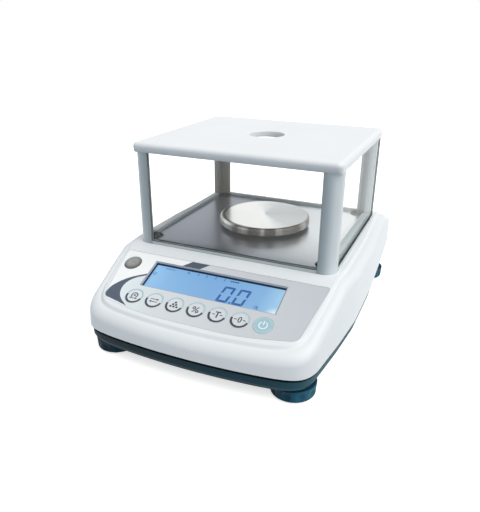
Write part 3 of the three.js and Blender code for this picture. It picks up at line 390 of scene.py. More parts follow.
def vial_painted_light_and_shade(tree, place):
    """Painted light and shade: the sight glass of the level is painted bright round a lit spot and in the
    shade at its lower right edge.
    """
    lit = on_panel(VIAL_X - 1.6, VIAL_S + 2.6, -0.6)
    return add(tree, "ValToRGB", {"stops": [
        (0.0, "#ffffff"), (0.3, "#ecebe9"), (0.55, "#b9b7b4"), (0.75, "#7c7a77"), (0.92, "#8c8a88"),
        (1.0, "#b5b4b3")]}, {"Fac": share_away(tree, place, lit, 3, 9.8)})


def moulded(name, colour, shade, rough=0.42, grain=0.6, depth=0.01, patch=70, specular=0.5, tone=None):
    """Moulded plastic: fine spark-eroded grain, and a faint unevenness of colour and gloss."""
    material, tree, place = new_material(name)
    cloud = add(tree, "TexNoise", {"Scale": per_metre(patch), "Detail": 3}, {"Vector": place})
    tint = add(tree, "ValToRGB", {"stops": [(0.3, shade), (0.7, colour)]}, {"Fac": cloud})
    # A tone, where one is given, paints light and shade into the colour.
    if tone:
        tint = add(tree, "Mix", SHADED, {6: tint, 7: tone(tree, place)})
    texture = add(tree, "TexNoise", {"Scale": per_metre(grain), "Detail": 2}, {"Vector": place})
    return textured(material, tree, tint, texture, 0.5, depth, (rough - 0.04, rough + 0.05),
                    {"Specular IOR Level": specular})


def ink(name, colour, shade):
    """Screen-printed ink: even and satin, with the faint mottling of a print."""
    return moulded(name, colour, shade, 0.45, grain=0.3, depth=0.003, patch=6, specular=0.35)


def steel(name, colour, shade, rough, line, stretch, patch):
    """Metal with fine lines from rolling or brushing, and slow changes of tone between them."""
    material, tree, place = new_material(name)
    along = add(tree, "Mapping", {"Scale": stretch}, {"Vector": place})
    fine = add(tree, "TexNoise", {"Scale": per_metre(line), "Detail": 4}, {"Vector": along})
    cloud = add(tree, "TexNoise", {"Scale": per_metre(patch), "Detail": 2, "Distortion": 0.5},
                {"Vector": place})
    mixed = add(tree, "Math", {"operation": "MULTIPLY_ADD", 1: 0.3}, {0: fine, 2: cloud})
    tint = add(tree, "ValToRGB", {"stops": [(0.45, shade), (0.85, colour)]}, {"Fac": mixed})
    return textured(material, tree, tint, fine, 0.3, 0.004, (rough * 0.8, rough * 1.25), {"Metallic": 1.0})


def measured_from_pan(tree, place):
    """A point seen from the pan's centre: its place, its three parts and its direction."""
    centred = add(tree, "Mapping", {"Location": (0, -PAN_Y * MM, 0)}, {"Vector": place})
    parts = add(tree, "SeparateXYZ", links={"Vector": centred}).outputs
    turn = add(tree, "Math", {"operation": "ARCTAN2"}, {0: parts["Y"], 1: parts["X"]})
    return centred, parts, turn


def tones_round(tree, turn, pattern, streak, stops):
    """Painted light and shade that change with the direction from the pan's centre, broken up by a pattern.
    """
    share = add(tree, "Math", {"operation": "MULTIPLY_ADD", 1: 1 / math.tau, 2: 0.5 - streak / 2},
                {0: turn})
    uneven = add(tree, "Math", {"operation": "MULTIPLY_ADD", 1: streak}, {0: pattern, 2: share})
    return add(tree, "ValToRGB", {"stops": stops}, {"Fac": uneven})


def ring_brushed_steel_painted_sheen(name, stops, rough):
    """Steel brushed in rings, with painted reflections: two pale fans of painted light lie across it, and a
    painted shade darkens its edge at the left.
    """
    material, tree, place = new_material(name)
    centred, parts, turn = measured_from_pan(tree, place)
    flat = add(tree, "VectorMath", {"operation": "MULTIPLY", 1: (1, 1, 0)}, {0: centred})
    radius = add(tree, "VectorMath", {"operation": "LENGTH"}, {0: flat})
    polar = add(tree, "CombineXYZ", links={"X": turn, "Y": radius, "Z": parts["Z"]})
    spun = add(tree, "Mapping", {"Scale": (1.5, per_metre(0.9), per_metre(1.2))}, {"Vector": polar})
    rings = add(tree, "TexNoise", {"Scale": 1.0, "Detail": 3}, {"Vector": spun})
    # Painted shade: the edge darkens outside a circle set off to the right of the pan's centre.
    rim = add(tree, "ValToRGB", {"stops": [(0.0, "#ffffff"), (1.0, "#a09e9c")]},
              {"Fac": share_away(tree, flat, Vector((2.4, 1, 0)), 37.1, 38.4)})
    tint = add(tree, "Mix", SHADED, {6: tones_round(tree, turn, rings, 0.05, stops), 7: rim})
    return textured(material, tree, tint, rings, 0.25, 0.004, (rough * 0.8, rough * 1.25),
                    {"Metallic": 1.0, "Anisotropic": 0.4})


def skirt_steel_painted_reflections(name, stops):
    """Deep-drawn steel skirt with painted reflections: upright streaks of dark and light at set directions
    round the pan, their edges broken by fine drawing lines.
    """
    material, tree, place = new_material(name)
    centred, _, turn = measured_from_pan(tree, place)
    drawn = add(tree, "VectorMath", {"operation": "MULTIPLY", 1: (1, 1, 0.04)}, {0: centred})
    fine = add(tree, "TexNoise", {"Scale": per_metre(2.5), "Detail": 3}, {"Vector": drawn})
    return finished(material, tree, add(tree, "BsdfPrincipled", {"Metallic": 1.0, "Roughness": 0.3}, {
        "Base Color": tones_round(tree, turn, fine, 0.02, stops)}))


def rolled_plate_steel_painted_reflection(name, stops):
    """Rolled sheet, lined across, with painted reflection and shade: lavender grey at the left and in front,
    silver at the right.
    """
    material, tree, place = new_material(name)
    along = add(tree, "Mapping", {"Scale": (0.04, 1, 1)}, {"Vector": place})
    fine = add(tree, "TexNoise", {"Scale": per_metre(1.6), "Detail": 3}, {"Vector": along})
    cloud = add(tree, "TexNoise", {"Scale": per_metre(60), "Detail": 2}, {"Vector": place})
    across = share_along(tree, place, "X", -PLATE_HIGH.x, PLATE_HIGH.x)
    uneven = add(tree, "Math", {"operation": "MULTIPLY_ADD", 1: 0.16, 2: -0.08}, {0: cloud})
    spot = add(tree, "Math", {"operation": "ADD"}, {0: across, 1: uneven})
    # Painted reflection: lavender grey at the left, silver at the right.
    silver = add(tree, "ValToRGB", {"stops": stops}, {"Fac": spot})
    depth = share_along(tree, place, "Y", PLATE_LOW.y, PAN_Y)
    lined = add(tree, "Math", {"operation": "MULTIPLY_ADD", 1: 0.12}, {0: fine, 2: depth})
    # Painted shade: darker towards the front.
    front = add(tree, "ValToRGB", {"stops": [
        (0.06, "#d8d8dc"), (0.5, "#f4f5f6"), (1.0, "#ffffff")]}, {"Fac": lined})
    tint = add(tree, "Mix", SHADED, {6: silver, 7: front})
    gloss = add(tree, "MapRange", {"To Min": 0.275, "To Max": 0.285}, {"Value": cloud})
    return finished(material, tree, add(tree, "BsdfPrincipled", {"Metallic": 1.0}, {
        "Base Color": tint, "Roughness": gloss}))


def clear_acrylic(name, colour, haze):
    """Clear acrylic sheet: light goes straight through it, and it mirrors more at a flat angle."""
    material, tree, place = new_material(name)
    cloud = add(tree, "TexNoise", {"Scale": per_metre(25), "Detail": 2}, {"Vector": place})
    rough = add(tree, "MapRange", {"To Min": haze, "To Max": 4 * haze}, {"Value": cloud})
    clear = add(tree, "BsdfTransparent", {"Color": linear(colour)})
    gloss = add(tree, "BsdfGlossy", {"Color": linear("#ffffff")}, {"Roughness": rough})
    slant = add(tree, "LayerWeight", {"Blend": 0.5}).outputs["Facing"]
    steep = add(tree, "Math", {"operation": "POWER", 1: 5.0}, {0: slant})
    mirror = add(tree, "Math", {"operation": "MULTIPLY_ADD", 1: 0.2, 2: 0.02}, {0: steep})
    return finished(material, tree, add(tree, "MixShader", links={"Fac": mirror, 1: clear, 2: gloss}))


def printed_film(name, stops):
    """Printed polycarbonate film: satin, finely textured, its grey field deepening to the right."""
    material, tree, place = new_material(name)
    tint = add(tree, "ValToRGB", {"stops": stops},
               {"Fac": share_along(tree, place, "X", -HALF_TOP, HALF_TOP)})
    texture = add(tree, "TexNoise", {"Scale": per_metre(0.4), "Detail": 2}, {"Vector": place})
    return textured(material, tree, tint, texture, 0.3, 0.004, (0.3, 0.42), {"Specular IOR Level": 0.4})


def edge_lit_display(name):
    """Blue liquid crystal display, lit from its edges: paler at the left, near white in the lower right."""
    material, tree, place = new_material(name)
    blue = add(tree, "ValToRGB", {"stops": [
        (0.0, "#93c3ec"), (0.16, "#83b4e1"), (0.5, "#7aaada"), (0.85, "#82b2dd"), (1.0, "#a6cfec")]},
        {"Fac": share_along(tree, place, "X", *around(WINDOW_X, WINDOW_HALF_X))})
    corner = on_panel(WINDOW_X + WINDOW_HALF_X - 2, WINDOW_S - WINDOW_HALF_S, LCD_FACE)
    tint = add(tree, "Mix", {"data_type": "RGBA", 7: linear("#f4fdff")},
               {0: share_away(tree, place, corner, 9, 1), 6: blue})
    shader = add(tree, "BsdfPrincipled",
                 {"Base Color": linear("#1b2733"), "Roughness": 0.3, "Emission Strength": 0.95},
                 {"Emission Color": tint})
    return finished(material, tree, shader)


# Materials that take a tone have light and shade painted into their colour.
WHITE_ABS = moulded("white_abs_housing", "#edeff1", "#e8ebee")
LID_ABS = moulded("white_abs_lid", "#f3f4f6", "#eff1f3", rough=0.4, tone=lid_front_painted_shade)
TEAL_ABS = moulded("dark_teal_abs_base", "#315763", "#2c4f5a", rough=0.55, specular=0.12, tone=painted_window_light)
# Black painted shade: on the base above its groove and on its lower slope, and in the strip before the front
# pane.
SHADE_ABS = moulded("black_painted_shade", "#0c1215", "#0a0f12", rough=0.6, specular=0.15)
KNOB_ABS = moulded("dark_teal_abs_knobs", "#2d6378", "#265668", rough=0.5, specular=0.1, tone=painted_window_light)
FRAME_ABS = moulded("light_grey_abs_frame", "#dde2e4", "#d8dddf", rough=0.38, tone=post_painted_shade)
# Painted shade for the rear left post and for the inner sides of the left posts.
FRAME_BROWN = moulded("brownish_grey_post_painted_shade", "#96948c", "#8a8880", rough=0.45)
FRAME_SHADE = moulded("inner_grey_post_painted_shade", "#9a9f9e", "#929796", rough=0.42)
BLACK_ABS = moulded("black_abs", "#15181b", "#101214", rough=0.5)
WELL_ABS = moulded("navy_window_wall", "#15233f", "#111d36", rough=0.4, specular=0.3)
RIM_ABS = moulded("grey_window_rim", "#a3a9b4", "#989eaa", rough=0.4)
RUBBER = moulded("moulded_black_rubber", "#0c0e0d", "#080a09", rough=0.85, grain=0.9, depth=0.03,
                 specular=0.1)
KEY_FILM = printed_film("key_cap_film", [(0.1, "#e3e8ea"), (0.6, "#d8dbde"), (1.0, "#d2d6d9")])
POWER_FILM = printed_film("power_key_film", [(0.0, "#a9cdd9"), (1.0, "#a3c6d2")])
GREY_FILM = printed_film("grey_panel_film", [
    (0.1, "#e4eef1"), (0.3, "#dbdfe1"), (0.62, "#d2d5d8"), (1.0, "#c8ccd1")])
WHITE_FILM = printed_film("white_panel_film", [(0.0, "#fbfcfb"), (1.0, "#f9fafa")])
SLATE_INK = ink("slate_ink", "#555f6e", "#505a69")
DARK_INK = ink("dark_slate_ink", "#434b56", "#3e4651")
PALE_INK = ink("pale_blue_ink", "#b9cfd6", "#b3cad2")
WHITE_INK = ink("white_ink", "#f2f8fa", "#edf4f6")
SEGMENT_INK = ink("display_segments", "#3a66ac", "#3662a6")
FAINT_INK = ink("faint_display_marks", "#4a72b4", "#466eb0")
DISPLAY = edge_lit_display("edge_lit_display")
PLATE_STEEL = rolled_plate_steel_painted_reflection("rolled_steel_painted_reflection", [
    (0.0, "#858c9c"), (0.3, "#828999"), (0.48, "#a0a5ae"), (0.66, "#dbe2e9"), (0.85, "#e8eef3"),
    (1.0, "#e8edf2")])
PAN_TOP_STEEL = ring_brushed_steel_painted_sheen("ring_brushed_pan_top_painted_sheen", [
    (0.0, "#fbfdff"), (0.33, "#fbfdff"), (0.4, "#d0d5da"), (0.58, "#c0c6cc"), (0.74, "#c8cdd3"),
    (0.85, "#f8faff"), (1.0, "#ffffff")], 0.2)
PAN_SIDE_STEEL = skirt_steel_painted_reflections("pan_skirt_painted_reflections", [
    (0.0, "#a8a5a1"), (0.11, "#a8a5a1"), (0.15, "#e4e3e1"), (0.18, "#c4c2bf"), (0.203, "#605c58"),
    (0.235, "#aaa7a3"), (0.258, "#55514d"), (0.287, "#4f4b47"), (0.299, "#a5a29e"), (0.312, "#4c4844"),
    (0.338, "#504c48"), (0.353, "#a9a6a2"), (0.375, "#6a6560"), (0.435, "#66615c"), (0.469, "#bcb9b5"),
    (0.5, "#9a9793"), (0.62, "#8a8682"), (0.8, "#c2bfbb"), (1.0, "#a8a5a1")])
# Painted shade: the pan's underside is a dark brownish steel.
DARK_STEEL = steel("pan_underside_painted_shade", "#4a423d", "#3a3430", 0.5, 0.5, (1, 1, 1), 20)
ZINC = steel("zinc_plated_steel", "#b9bbbd", "#9fa1a4", 0.35, 0.5, (1, 1, 1), 5)
NICKEL = steel("nickel_plated_steel", "#c9c8c4", "#b4b2ae", 0.25, 0.6, (1, 1, 1), 6)
ALUMINIUM = steel("anodised_aluminium", "#c3c6ca", "#b2b5ba", 0.42, 0.5, (1, 0.05, 1), 30)
BRASS = steel("turned_brass", "#c9a85c", "#b08f47", 0.32, 0.4, (1, 1, 0.2), 8)
GLASS_FIBRE = moulded("green_circuit_board", "#1f5a3a", "#1a4e32", rough=0.5, grain=0.8, depth=0.02, patch=9)
ACRYLIC = clear_acrylic("clear_acrylic_sheet", "#fcfcfb", 0.004)
# The sawn edges' dark teal, also laid as painted shade on the side strips and on the frame's rear right edge.
ACRYLIC_EDGE_AND_PAINTED_SHADE = moulded("sawn_acrylic_edge_and_painted_shade", "#3c5f63", "#31545a", rough=0.25, grain=0.4, patch=12)
VIAL_PLASTIC = moulded("smoked_vial", "#8d8881", "#7c766f", rough=0.22, grain=0.8, depth=0.02, patch=9)
SIGHT_GLASS = moulded("smoked_sight_glass", "#a2a3a0", "#929290", rough=0.2, grain=0.8, depth=0.005, patch=5,
                      tone=vial_painted_light_and_shade)


# Housing and base
def plan_line(inset, height):
    """Plan curve of the housing at an inset, as a ring from the front centre round the right side."""
    side, front, rear = inset if isinstance(inset, tuple) else (inset, inset, inset)

    def width(y):
        taper = FRONT_TAPER * max(-y - FRONT_TAPER_FROM, 0) + REAR_TAPER * max(y, 0)
        return (HALF_WIDTH - side) * (1 - taper)

    def on_side(y):
        reach = HALF_LENGTH - (rear if y > 0 else front)
        return Vector((width(y) * (1 - (abs(y) / reach) ** CORNER_POWER) ** (1 / CORNER_POWER), y, height(y)))

    def at_corner(turn, back):
        across, along = (max(v, 0) ** (2 / CORNER_POWER) for v in (math.cos(turn), math.sin(turn)))
        end = (HALF_LENGTH - rear if back else front - HALF_LENGTH) * along
        x = width(end) * across
        y = end if back else end + FRONT_BOW * (x / HALF_WIDTH) ** 2 * math.sin(turn) ** 2
        return Vector((x, y, height(y)))

    turns = [CORNER_START + (math.pi / 2 - CORNER_START) * i / CORNER_STEPS for i in range(CORNER_STEPS)]
    turns += [math.acos(share ** (CORNER_POWER / 2)) for share in CORNER_SHARES]
    creases = [middle + share * BREAK_BLEND for middle in (FRONT_BREAK, REAR_BREAK)
               for share in (-1, -0.5, 0, 0.5, 1)]
    half = [at_corner(turn, False) for turn in sorted(turns, reverse=True)]
    half += [on_side(y) for y in sorted(creases + SIDE_STATIONS)]
    half += [at_corner(turn, True) for turn in sorted(turns)]
    half[0].x = half[-1].x = 0
    return half + [Vector((-p.x, p.y, p.z)) for p in reversed(half[1:-1])]


def plateau_top(y):
    """Height of the plateau, which falls away in front and behind with a soft crease at each break."""
    def past(run):
        if abs(run) >= BREAK_BLEND:
            return max(run, 0)
        return (run + BREAK_BLEND) ** 2 / (4 * BREAK_BLEND)
    return DECK - math.tan(TILT) * past(FRONT_BREAK - y) - REAR_FALL * past(y - REAR_BREAK)


def ledge_top(y):
    return plateau_top(y) - LEDGE


def panel_outline(grow):
    half_foot = HALF_FOOT + grow
    return rounded([
        (HALF_TOP + grow, FILM_HEAD + grow, 2.5), (-HALF_TOP - grow, FILM_HEAD + grow, 2.5),
        (-half_foot, FILM_SIDE_FOOT - grow, 5), (-half_foot / 2, FILM_BOW - grow, half_foot / 4),
        (half_foot / 2, FILM_BOW - grow, half_foot / 4), (half_foot, FILM_SIDE_FOOT - grow, 5)], 12)


def key_places():
    return [(name, KEY_X + i * KEY_PITCH) for i, name in enumerate(KEY_NAMES)]


def make_housing():
    rings = [plan_line(ROOF_IN, lambda y: plateau_top(y) - WALL),
             plan_line(WALL + DRAFT, lambda y: ledge_top(y) - CHAMFER), plan_line(WALL, lambda y: PARTING)]
    for inset, rise in ((0.4, 0), (0.1, 0.15), (0, 0.5)):
        rings.append(plan_line(inset, lambda y, r=rise: PARTING + r))
    for turn in (math.pi / 2 * i / 10 for i in range(11)):
        rings.append(plan_line(DRAFT + SHOULDER * (1 - math.cos(turn)),
                               lambda y, t=turn: ledge_top(y) - SHOULDER * (1 - math.sin(t))))
    for share in (i / 8 for i in range(9)):
        rise = (1 - math.cos(math.pi * share)) / 2
        inset = tuple(value + share * PLATEAU_LIP for value in PLATEAU_INSETS)
        rings.append(plan_line(inset, lambda y, r=rise: ledge_top(y) + r * LEDGE))
    shell = loft("housing", rings)
    well = rounded_box((FRAME_LOW.x - FIT, FRAME_HIGH.x + FIT), (FRAME_LOW.y - FIT, FRAME_HIGH.y + FIT),
                       FRAME_FRONT_CORNER + FIT, FRAME_REAR_CORNER + FIT)
    combine(shell, [prism("well", well, DECK_FLOOR, DECK + OVERRUN)])
    combine(shell, [drum(COLLAR, DECK_FLOOR - WALL / 2, COLLAR_TOP, 0, PAN_Y)], "UNION")
    holes = [drum(COLLAR_BORE, PARTING, COLLAR_TOP + OVERRUN, 0, PAN_Y),
             prism("pocket", panel_outline(FIT), -POCKET, OVERRUN, on_panel),
             block(around(WINDOW_X, WINDOW_HALF_X + BEZEL_FLANGE + FIT),
                   around(WINDOW_S, WINDOW_HALF_S + BEZEL_FLANGE + FIT), (THROUGH, OVERRUN), on_panel),
             drum(VIAL_RADIUS + FIT, THROUGH, OVERRUN, VIAL_X, VIAL_S, 48, on_panel)]
    for _, x in key_places():
        holes += [drum(KEY_FLANGE + SEAM, KEY_POCKET, OVERRUN, x, KEY_S, 48, on_panel),
                  drum(KEY_STEM + SEAM, THROUGH, KEY_BORE_TOP, x, KEY_S, 24, on_panel)]
    for low, high in (edges_of("data_port"), edges_of("power_jack")):
        holes.append(block((low.x - FIT, high.x + FIT), (HALF_LENGTH - OVERRUN - WALL, HALF_LENGTH + OVERRUN),
                           (PARTING - OVERRUN, high.z + FIT)))
    combine(shell, holes)
    finish_piece(shell, "housing_shell", WHITE_ABS, ["upper_housing"], angle=32)


def make_base():
    screw_well, screw_depth, foot_well, belt_low = 3.65, 6, 5.75, 12.5
    top, floor, underside = PARTING - SEAM, BASE_LOW.z + 2.5, BASE_LOW.z
    lip_out, lip_top, inside = WALL + FIT, BASE_HIGH.z, WALL + FIT + 1.8
    # Inset and height of the tray's skin: up the outside, over the lip and down the inside
    skin = [(7, underside), (6.1, underside + 0.2), (5.2, underside + 0.8), (3.6, 12.3), (3.2, 12.7),
            (2.2, 15), (1.8, 15.5), (1.65, 16), (1.35, GROOVE - 0.4), (1.5, GROOVE - 0.1), (1.8, GROOVE),
            (2.6, GROOVE + 0.1), (2.6, top), (lip_out, top), (lip_out, lip_top), (inside, lip_top),
            (inside, 15.5), (9.5, floor)]
    tray = loft("tray", [plan_line(inset, lambda y, z=z: z) for inset, z in skin])
    wells = []
    for side in CORNERS:
        wells += [drum(screw_well, underside - OVERRUN, underside + screw_depth,
                       *middle_of("cover_screw_" + side), 32),
                  drum(foot_well, underside - OVERRUN, floor + OVERRUN,
                       *middle_of("foot_insert_" + side), 32)]
    combine(tray, wells)
    finish_piece(tray, "base_tray", [TEAL_ABS, SHADE_ABS], ["lower_base"], angle=32)
    # Painted shade: the faces above the groove and below the belt are painted black.
    for face in tray.data.polygons:
        if not belt_low <= face.center.z / MM <= GROOVE:
            face.material_index = 1


# Control panel
def film_layer(low, high, region=None):
    """A layer of the panel's film or its print, with the window, the level and the keys cut out."""
    layer = prism("layer", panel_outline(-PRINT_MARGIN if region else 0), low, high, on_panel)
    clear = (low - OVERRUN, high + OVERRUN)
    if region:
        combine(layer, [prism("region", region, *clear, on_panel)], "INTERSECT")
    gone = [block(around(WINDOW_X, WINDOW_HALF_X), around(WINDOW_S, WINDOW_HALF_S), clear, on_panel),
            drum(VIAL_RADIUS + FIT, *clear, VIAL_X, VIAL_S, 64, on_panel)]
    gone += [drum(KEY_RADIUS + KEY_GAP, *clear, x, KEY_S, 96, on_panel) for _, x in key_places()]
    return combine(layer, gone)


def curve_through(points, steps=10):
    """A smooth line through given points."""
    line = []
    for i in range(len(points) - 1):
        p0, p1, p2, p3 = (Vector(points[max(0, min(len(points) - 1, j))]) for j in (i - 1, i, i + 1, i + 2))
        for k in range(steps):
            t = k / steps
            line.append(tuple(0.5 * (2 * p1 + (p2 - p0) * t + (2 * p0 - 5 * p1 + 4 * p2 - p3) * t ** 2
                                     + (3 * p1 - p0 - 3 * p2 + p3) * t ** 3)))
    return line + [tuple(points[-1])]


# The curved stripe at the left of the keys, drawn through listed points, and the slanted bar over the display
SWEEP_OUTER = [(-77.7, -56.6), (-76.8, -50.0), (-72.4, -42.8), (-65.6, -36.4), (-55.2, -30.2)]
SWEEP_INNER = [(-55.2, -32.2), (-61.8, -36.4), (-66.0, -41.2), (-67.6, -47.2), (-66.2, -53.6),
               (-62.0, -59.0), (-54.0, -64.4)]
SWEEP_FOOT = [(-54.0, -64.4), (-62.0, -62.6), (-70.0, -60.9), (-75.4, -59.6), (-77.7, -56.6)]
SLANTED_BAR = [(-32.6, -16.4), (-24.6, -8.6), (-9.5, -8.6), (-17.5, -16.4)]


def make_panel():
    finish_piece(film_layer(-POCKET, FILM_TOP), "panel_film", GREY_FILM, ["panel_overlay"],
                 edge=0.08, angle=50)
    white = [(-20.6, 0), (-100, 0), (-100, -80), (-54, -80)] + curve_through(SWEEP_INNER[::-1]) + [(-29, -15)]
    sweep = curve_through(SWEEP_OUTER) + curve_through(SWEEP_INNER) + curve_through(SWEEP_FOOT)
    second = FILM_TOP + INK
    for name, material, low, region in (("panel_white_field", WHITE_FILM, FILM_TOP, white),
                                        ("panel_sweep", SLATE_INK, second, sweep),
                                        ("panel_bar", SLATE_INK, second, SLANTED_BAR)):
        finish_piece(film_layer(low + APART, low + INK, region), name, material)


def window_ring(rows):
    """A four-sided ring round the display window; each row is (half width, half height, h)."""
    points = [on_panel(WINDOW_X + x * half_x, WINDOW_S + s * half_s, h) for half_x, half_s, h in rows
              for x, s in ((1, -1), (1, 1), (-1, 1), (-1, -1))]
    faces = []
    for r in range(len(rows)):
        low, high = 4 * r, 4 * ((r + 1) % len(rows))
        faces += [(low + i, low + (i + 1) % 4, high + (i + 1) % 4, high + i) for i in range(4)]
    return body_of("ring", points, faces)


def make_window():
    """Rim and well of the display window: a pale sloping rim, then dark walls down to the display."""
    clear, eased, rim_foot, rim_end, well_top = 0.03, 0.25, -POCKET - 0.5, -POCKET - 0.4, -POCKET - 0.52
    out_x, out_s = WINDOW_HALF_X - clear, WINDOW_HALF_S - clear
    in_x, in_s = WINDOW_HALF_X - WINDOW_RIM, WINDOW_HALF_S - WINDOW_RIM
    rim = window_ring([(out_x, out_s, rim_foot), (out_x, out_s, FILM_TOP),
                       (out_x - eased, out_s - eased, FILM_TOP), (in_x, in_s, rim_end),
                       (in_x, in_s, rim_foot)])
    finish_piece(rim, "display_window_rim", RIM_ABS, ["display_bezel"])
    wide_x, wide_s = out_x + BEZEL_FLANGE, out_s + BEZEL_FLANGE
    well = window_ring([(wide_x, wide_s, MARK_H), (wide_x, wide_s, well_top), (in_x, in_s, well_top),
                        (in_x, in_s, MARK_H)])
    finish_piece(well, "display_window_well", WELL_ABS, ["display_bezel"])


def ring_band(inner, outer, start, end, x, y):
    """A band of a circle between two angles in degrees, as an outline."""
    return arc(outer, start, end, 28, x, y) + arc(inner, start, end, 28, x, y)[::-1]


def dot(x, s, radius):
    return arc(radius, 0, 360, 24, x, s)[:-1]


def bar(x0, s0, x1, s1, width):
    """A straight stroke between two points, as an outline."""
    start, end = Vector((x0, s0)), Vector((x1, s1))
    along = (end - start).normalized() * width / 2
    side = Vector((-along.y, along.x))
    return [tuple(corner) for corner in (start - side, end - side, end + side, start + side)]


def slanted(x, s, wide, tall, lean):
    """A small mark that leans to the right like the display's figures, as an outline."""
    return [(x, s), (x + wide, s), (x + wide + lean, s + tall), (x + lean, s + tall)]


def printed(outlines, h, x=0.0, s=0.0):
    """Flat marks of ink at a height over the panel, as one object."""
    return one_of([prism("mark", [(x + dx, s + ds) for dx, ds in outline], h, h + INK, on_panel)
                   for outline in outlines])


def nought(x, s):
    """The six lit segments of a nought on the display, with the slits between them."""
    half_wide, half_tall, thick, slit, lean, mitre = 4.5, 7.8, 1.9, 0.3, 0.14, 1.33
    segments = []
    for side in (-1, 1):
        out, inside = side * half_wide, side * (half_wide - thick)
        for low, high in ((slit, half_tall - slit), (slit - half_tall, -slit)):
            segments.append([(out, low), (inside, low + mitre), (inside, high - mitre), (out, high)])
    for end in (1, -1):
        level, inner, reach = end * half_tall, end * (half_tall - thick), half_wide - slit
        segments.append([(-reach, level), (reach, level), (reach - thick, inner), (thick - reach, inner)])
    return [[(x + u + lean * v, s + v) for u, v in segment] for segment in segments]


def make_display():
    offset, past_side, past_end, corner = 0.2, 1.6, 1.3, 1
    plan = rounded_box(around(WINDOW_X + offset, WINDOW_HALF_X + past_side),
                       around(WINDOW_S, WINDOW_HALF_S + past_end), corner, corner)
    glass = prism("glass", plan, 2 * LCD_FACE, LCD_FACE, on_panel)
    finish_piece(glass, "display_glass", DISPLAY, ["display_lcd"], edge=0.2)
    figures = nought(12.3, -31.8) + nought(24.9, -31.8) + [slanted(17.2, -39.5, 1.5, 1.5, 0.2)]
    scale = [ring_band(1.1, 1.5, 0, 360, -51.9, -25.7), ring_band(0.85, 1.35, 0, 360, 38.2, -37.6),
             slanted(39.2, -40.4, 0.4, 3.9, 0.3), ring_band(0.5, 1.0, 0, 360, -25.1, -18.6)]
    scale += [slanted(x - 0.35, -19.6, 0.65, 2.4, 0.35) for x in (-16.9, -9.6, -1.9, 5.7)]
    scale += [slanted(-45.6 + i * 1.7, -19.0, 1.1, 0.8, 0.1) for i in range(5)]
    state = [slanted(10.6 + i * 1.8, -19.1, 1.4, 1.3, 0.1) for i in range(4)]
    for name, material, outlines in (("digits", SEGMENT_INK, figures), ("scale_marks", FAINT_INK, scale),
                                     ("state_marks", SEGMENT_INK, state)):
        finish_piece(printed(outlines, MARK_H), "display_" + name, material)


# Outlines of the symbols on the keys, measured from the middle of each key
KEY_SYMBOLS = {
    "print": [ring_band(1.95, 2.8, -55, 235, 0, 0.5), dot(0, 0.6, 0.85), bar(-3.1, -2.3, -1.2, -2.3, 0.85),
              bar(1.2, -2.3, 3.1, -2.3, 0.85), bar(-0.6, -2.3, 0.6, -2.3, 0.85)],
    "mode": [bar(-3.4, 1.0, 2.2, 1.0, 0.6), [(2.0, 2.1), (3.6, 1.0), (2.0, -0.1)],
             bar(-2.2, -1.4, 3.4, -1.4, 0.6), [(-2.0, -2.5), (-3.6, -1.4), (-2.0, -0.3)]],
    "count": [dot(x, s, 0.92) for x, s in
              ((0, 2.3), (-1.25, 0.3), (1.25, 0.3), (-2.5, -1.7), (0, -1.7), (2.5, -1.7))],
    "percent": [ring_band(0.6, 1.35, 0, 360, -1.6, 1.5), ring_band(0.6, 1.35, 0, 360, 1.6, -1.5),
                bar(-1.9, -2.6, 1.9, 2.6, 0.75)],
    "tare": [bar(-2, 2.3, 2, 2.3, 1.0), bar(0, -2.8, 0, 1.8, 1.05), bar(-3.9, 0, -1.9, 0, 0.7),
             bar(1.9, 0, 3.9, 0, 0.7)],
    "zero": [[(1.45 * x, 2.6 * s) for x, s in arc(1, 0, 360, 28)]
             + [(0.65 * x, 1.9 * s) for x, s in arc(1, 360, 0, 28)],
             bar(-4.4, 0, -2.4, 0, 0.7), bar(2.4, 0, 4.4, 0, 0.7)],
    "power": [ring_band(2.5, 3.35, 120, 420, 0, -0.1), bar(0, 0.2, 0, 3.6, 0.85)],
}
POWER_ARCS = [ring_band(5.5, 6.9, start, start + 80, 0, 0) for start in (5, 95, 185, 275)]
LOWER_ARC = [ring_band(5.45, 7.05, 170, 347, 0, 0)]
UPPER_ARC = [ring_band(5.85, 7.1, -10, 166, 0, 0)]


def make_keys():
    edge_in, edge_drop, print_rise = 0.1, 0.12, 0.005
    profile = [(0, KEY_STEM_END), (KEY_STEM, KEY_STEM_END), (KEY_STEM, KEY_FLANGE_UNDER),
               (KEY_FLANGE, KEY_FLANGE_UNDER), (KEY_FLANGE, KEY_FLANGE_TOP), (KEY_RADIUS, KEY_FLANGE_TOP),
               (KEY_RADIUS, KEY_PROUD - edge_drop), (KEY_RADIUS - edge_in, KEY_PROUD), (0, KEY_PROUD)]
    for name, x in key_places():
        power = name == "power"
        body = "key_" + name
        cap = turned("cap", profile, x, KEY_S, 72, on_panel)
        film = POWER_FILM if power else KEY_FILM
        finish_piece(cap, "key_cap_" + name, film, [body], body, angle=30)
        marks = [("key_symbol_", WHITE_INK if power else DARK_INK, KEY_SYMBOLS[name])]
        if power:
            marks.append(("key_ring_", PALE_INK, POWER_ARCS))
        else:
            marks += [("key_lower_arc_", DARK_INK, LOWER_ARC), ("key_upper_arc_", PALE_INK, UPPER_ARC)]
        for kind, material, outlines in marks:
            printing = printed(outlines, KEY_PROUD + print_rise, x, KEY_S)
            finish_piece(printing, kind + name, material, body=body)


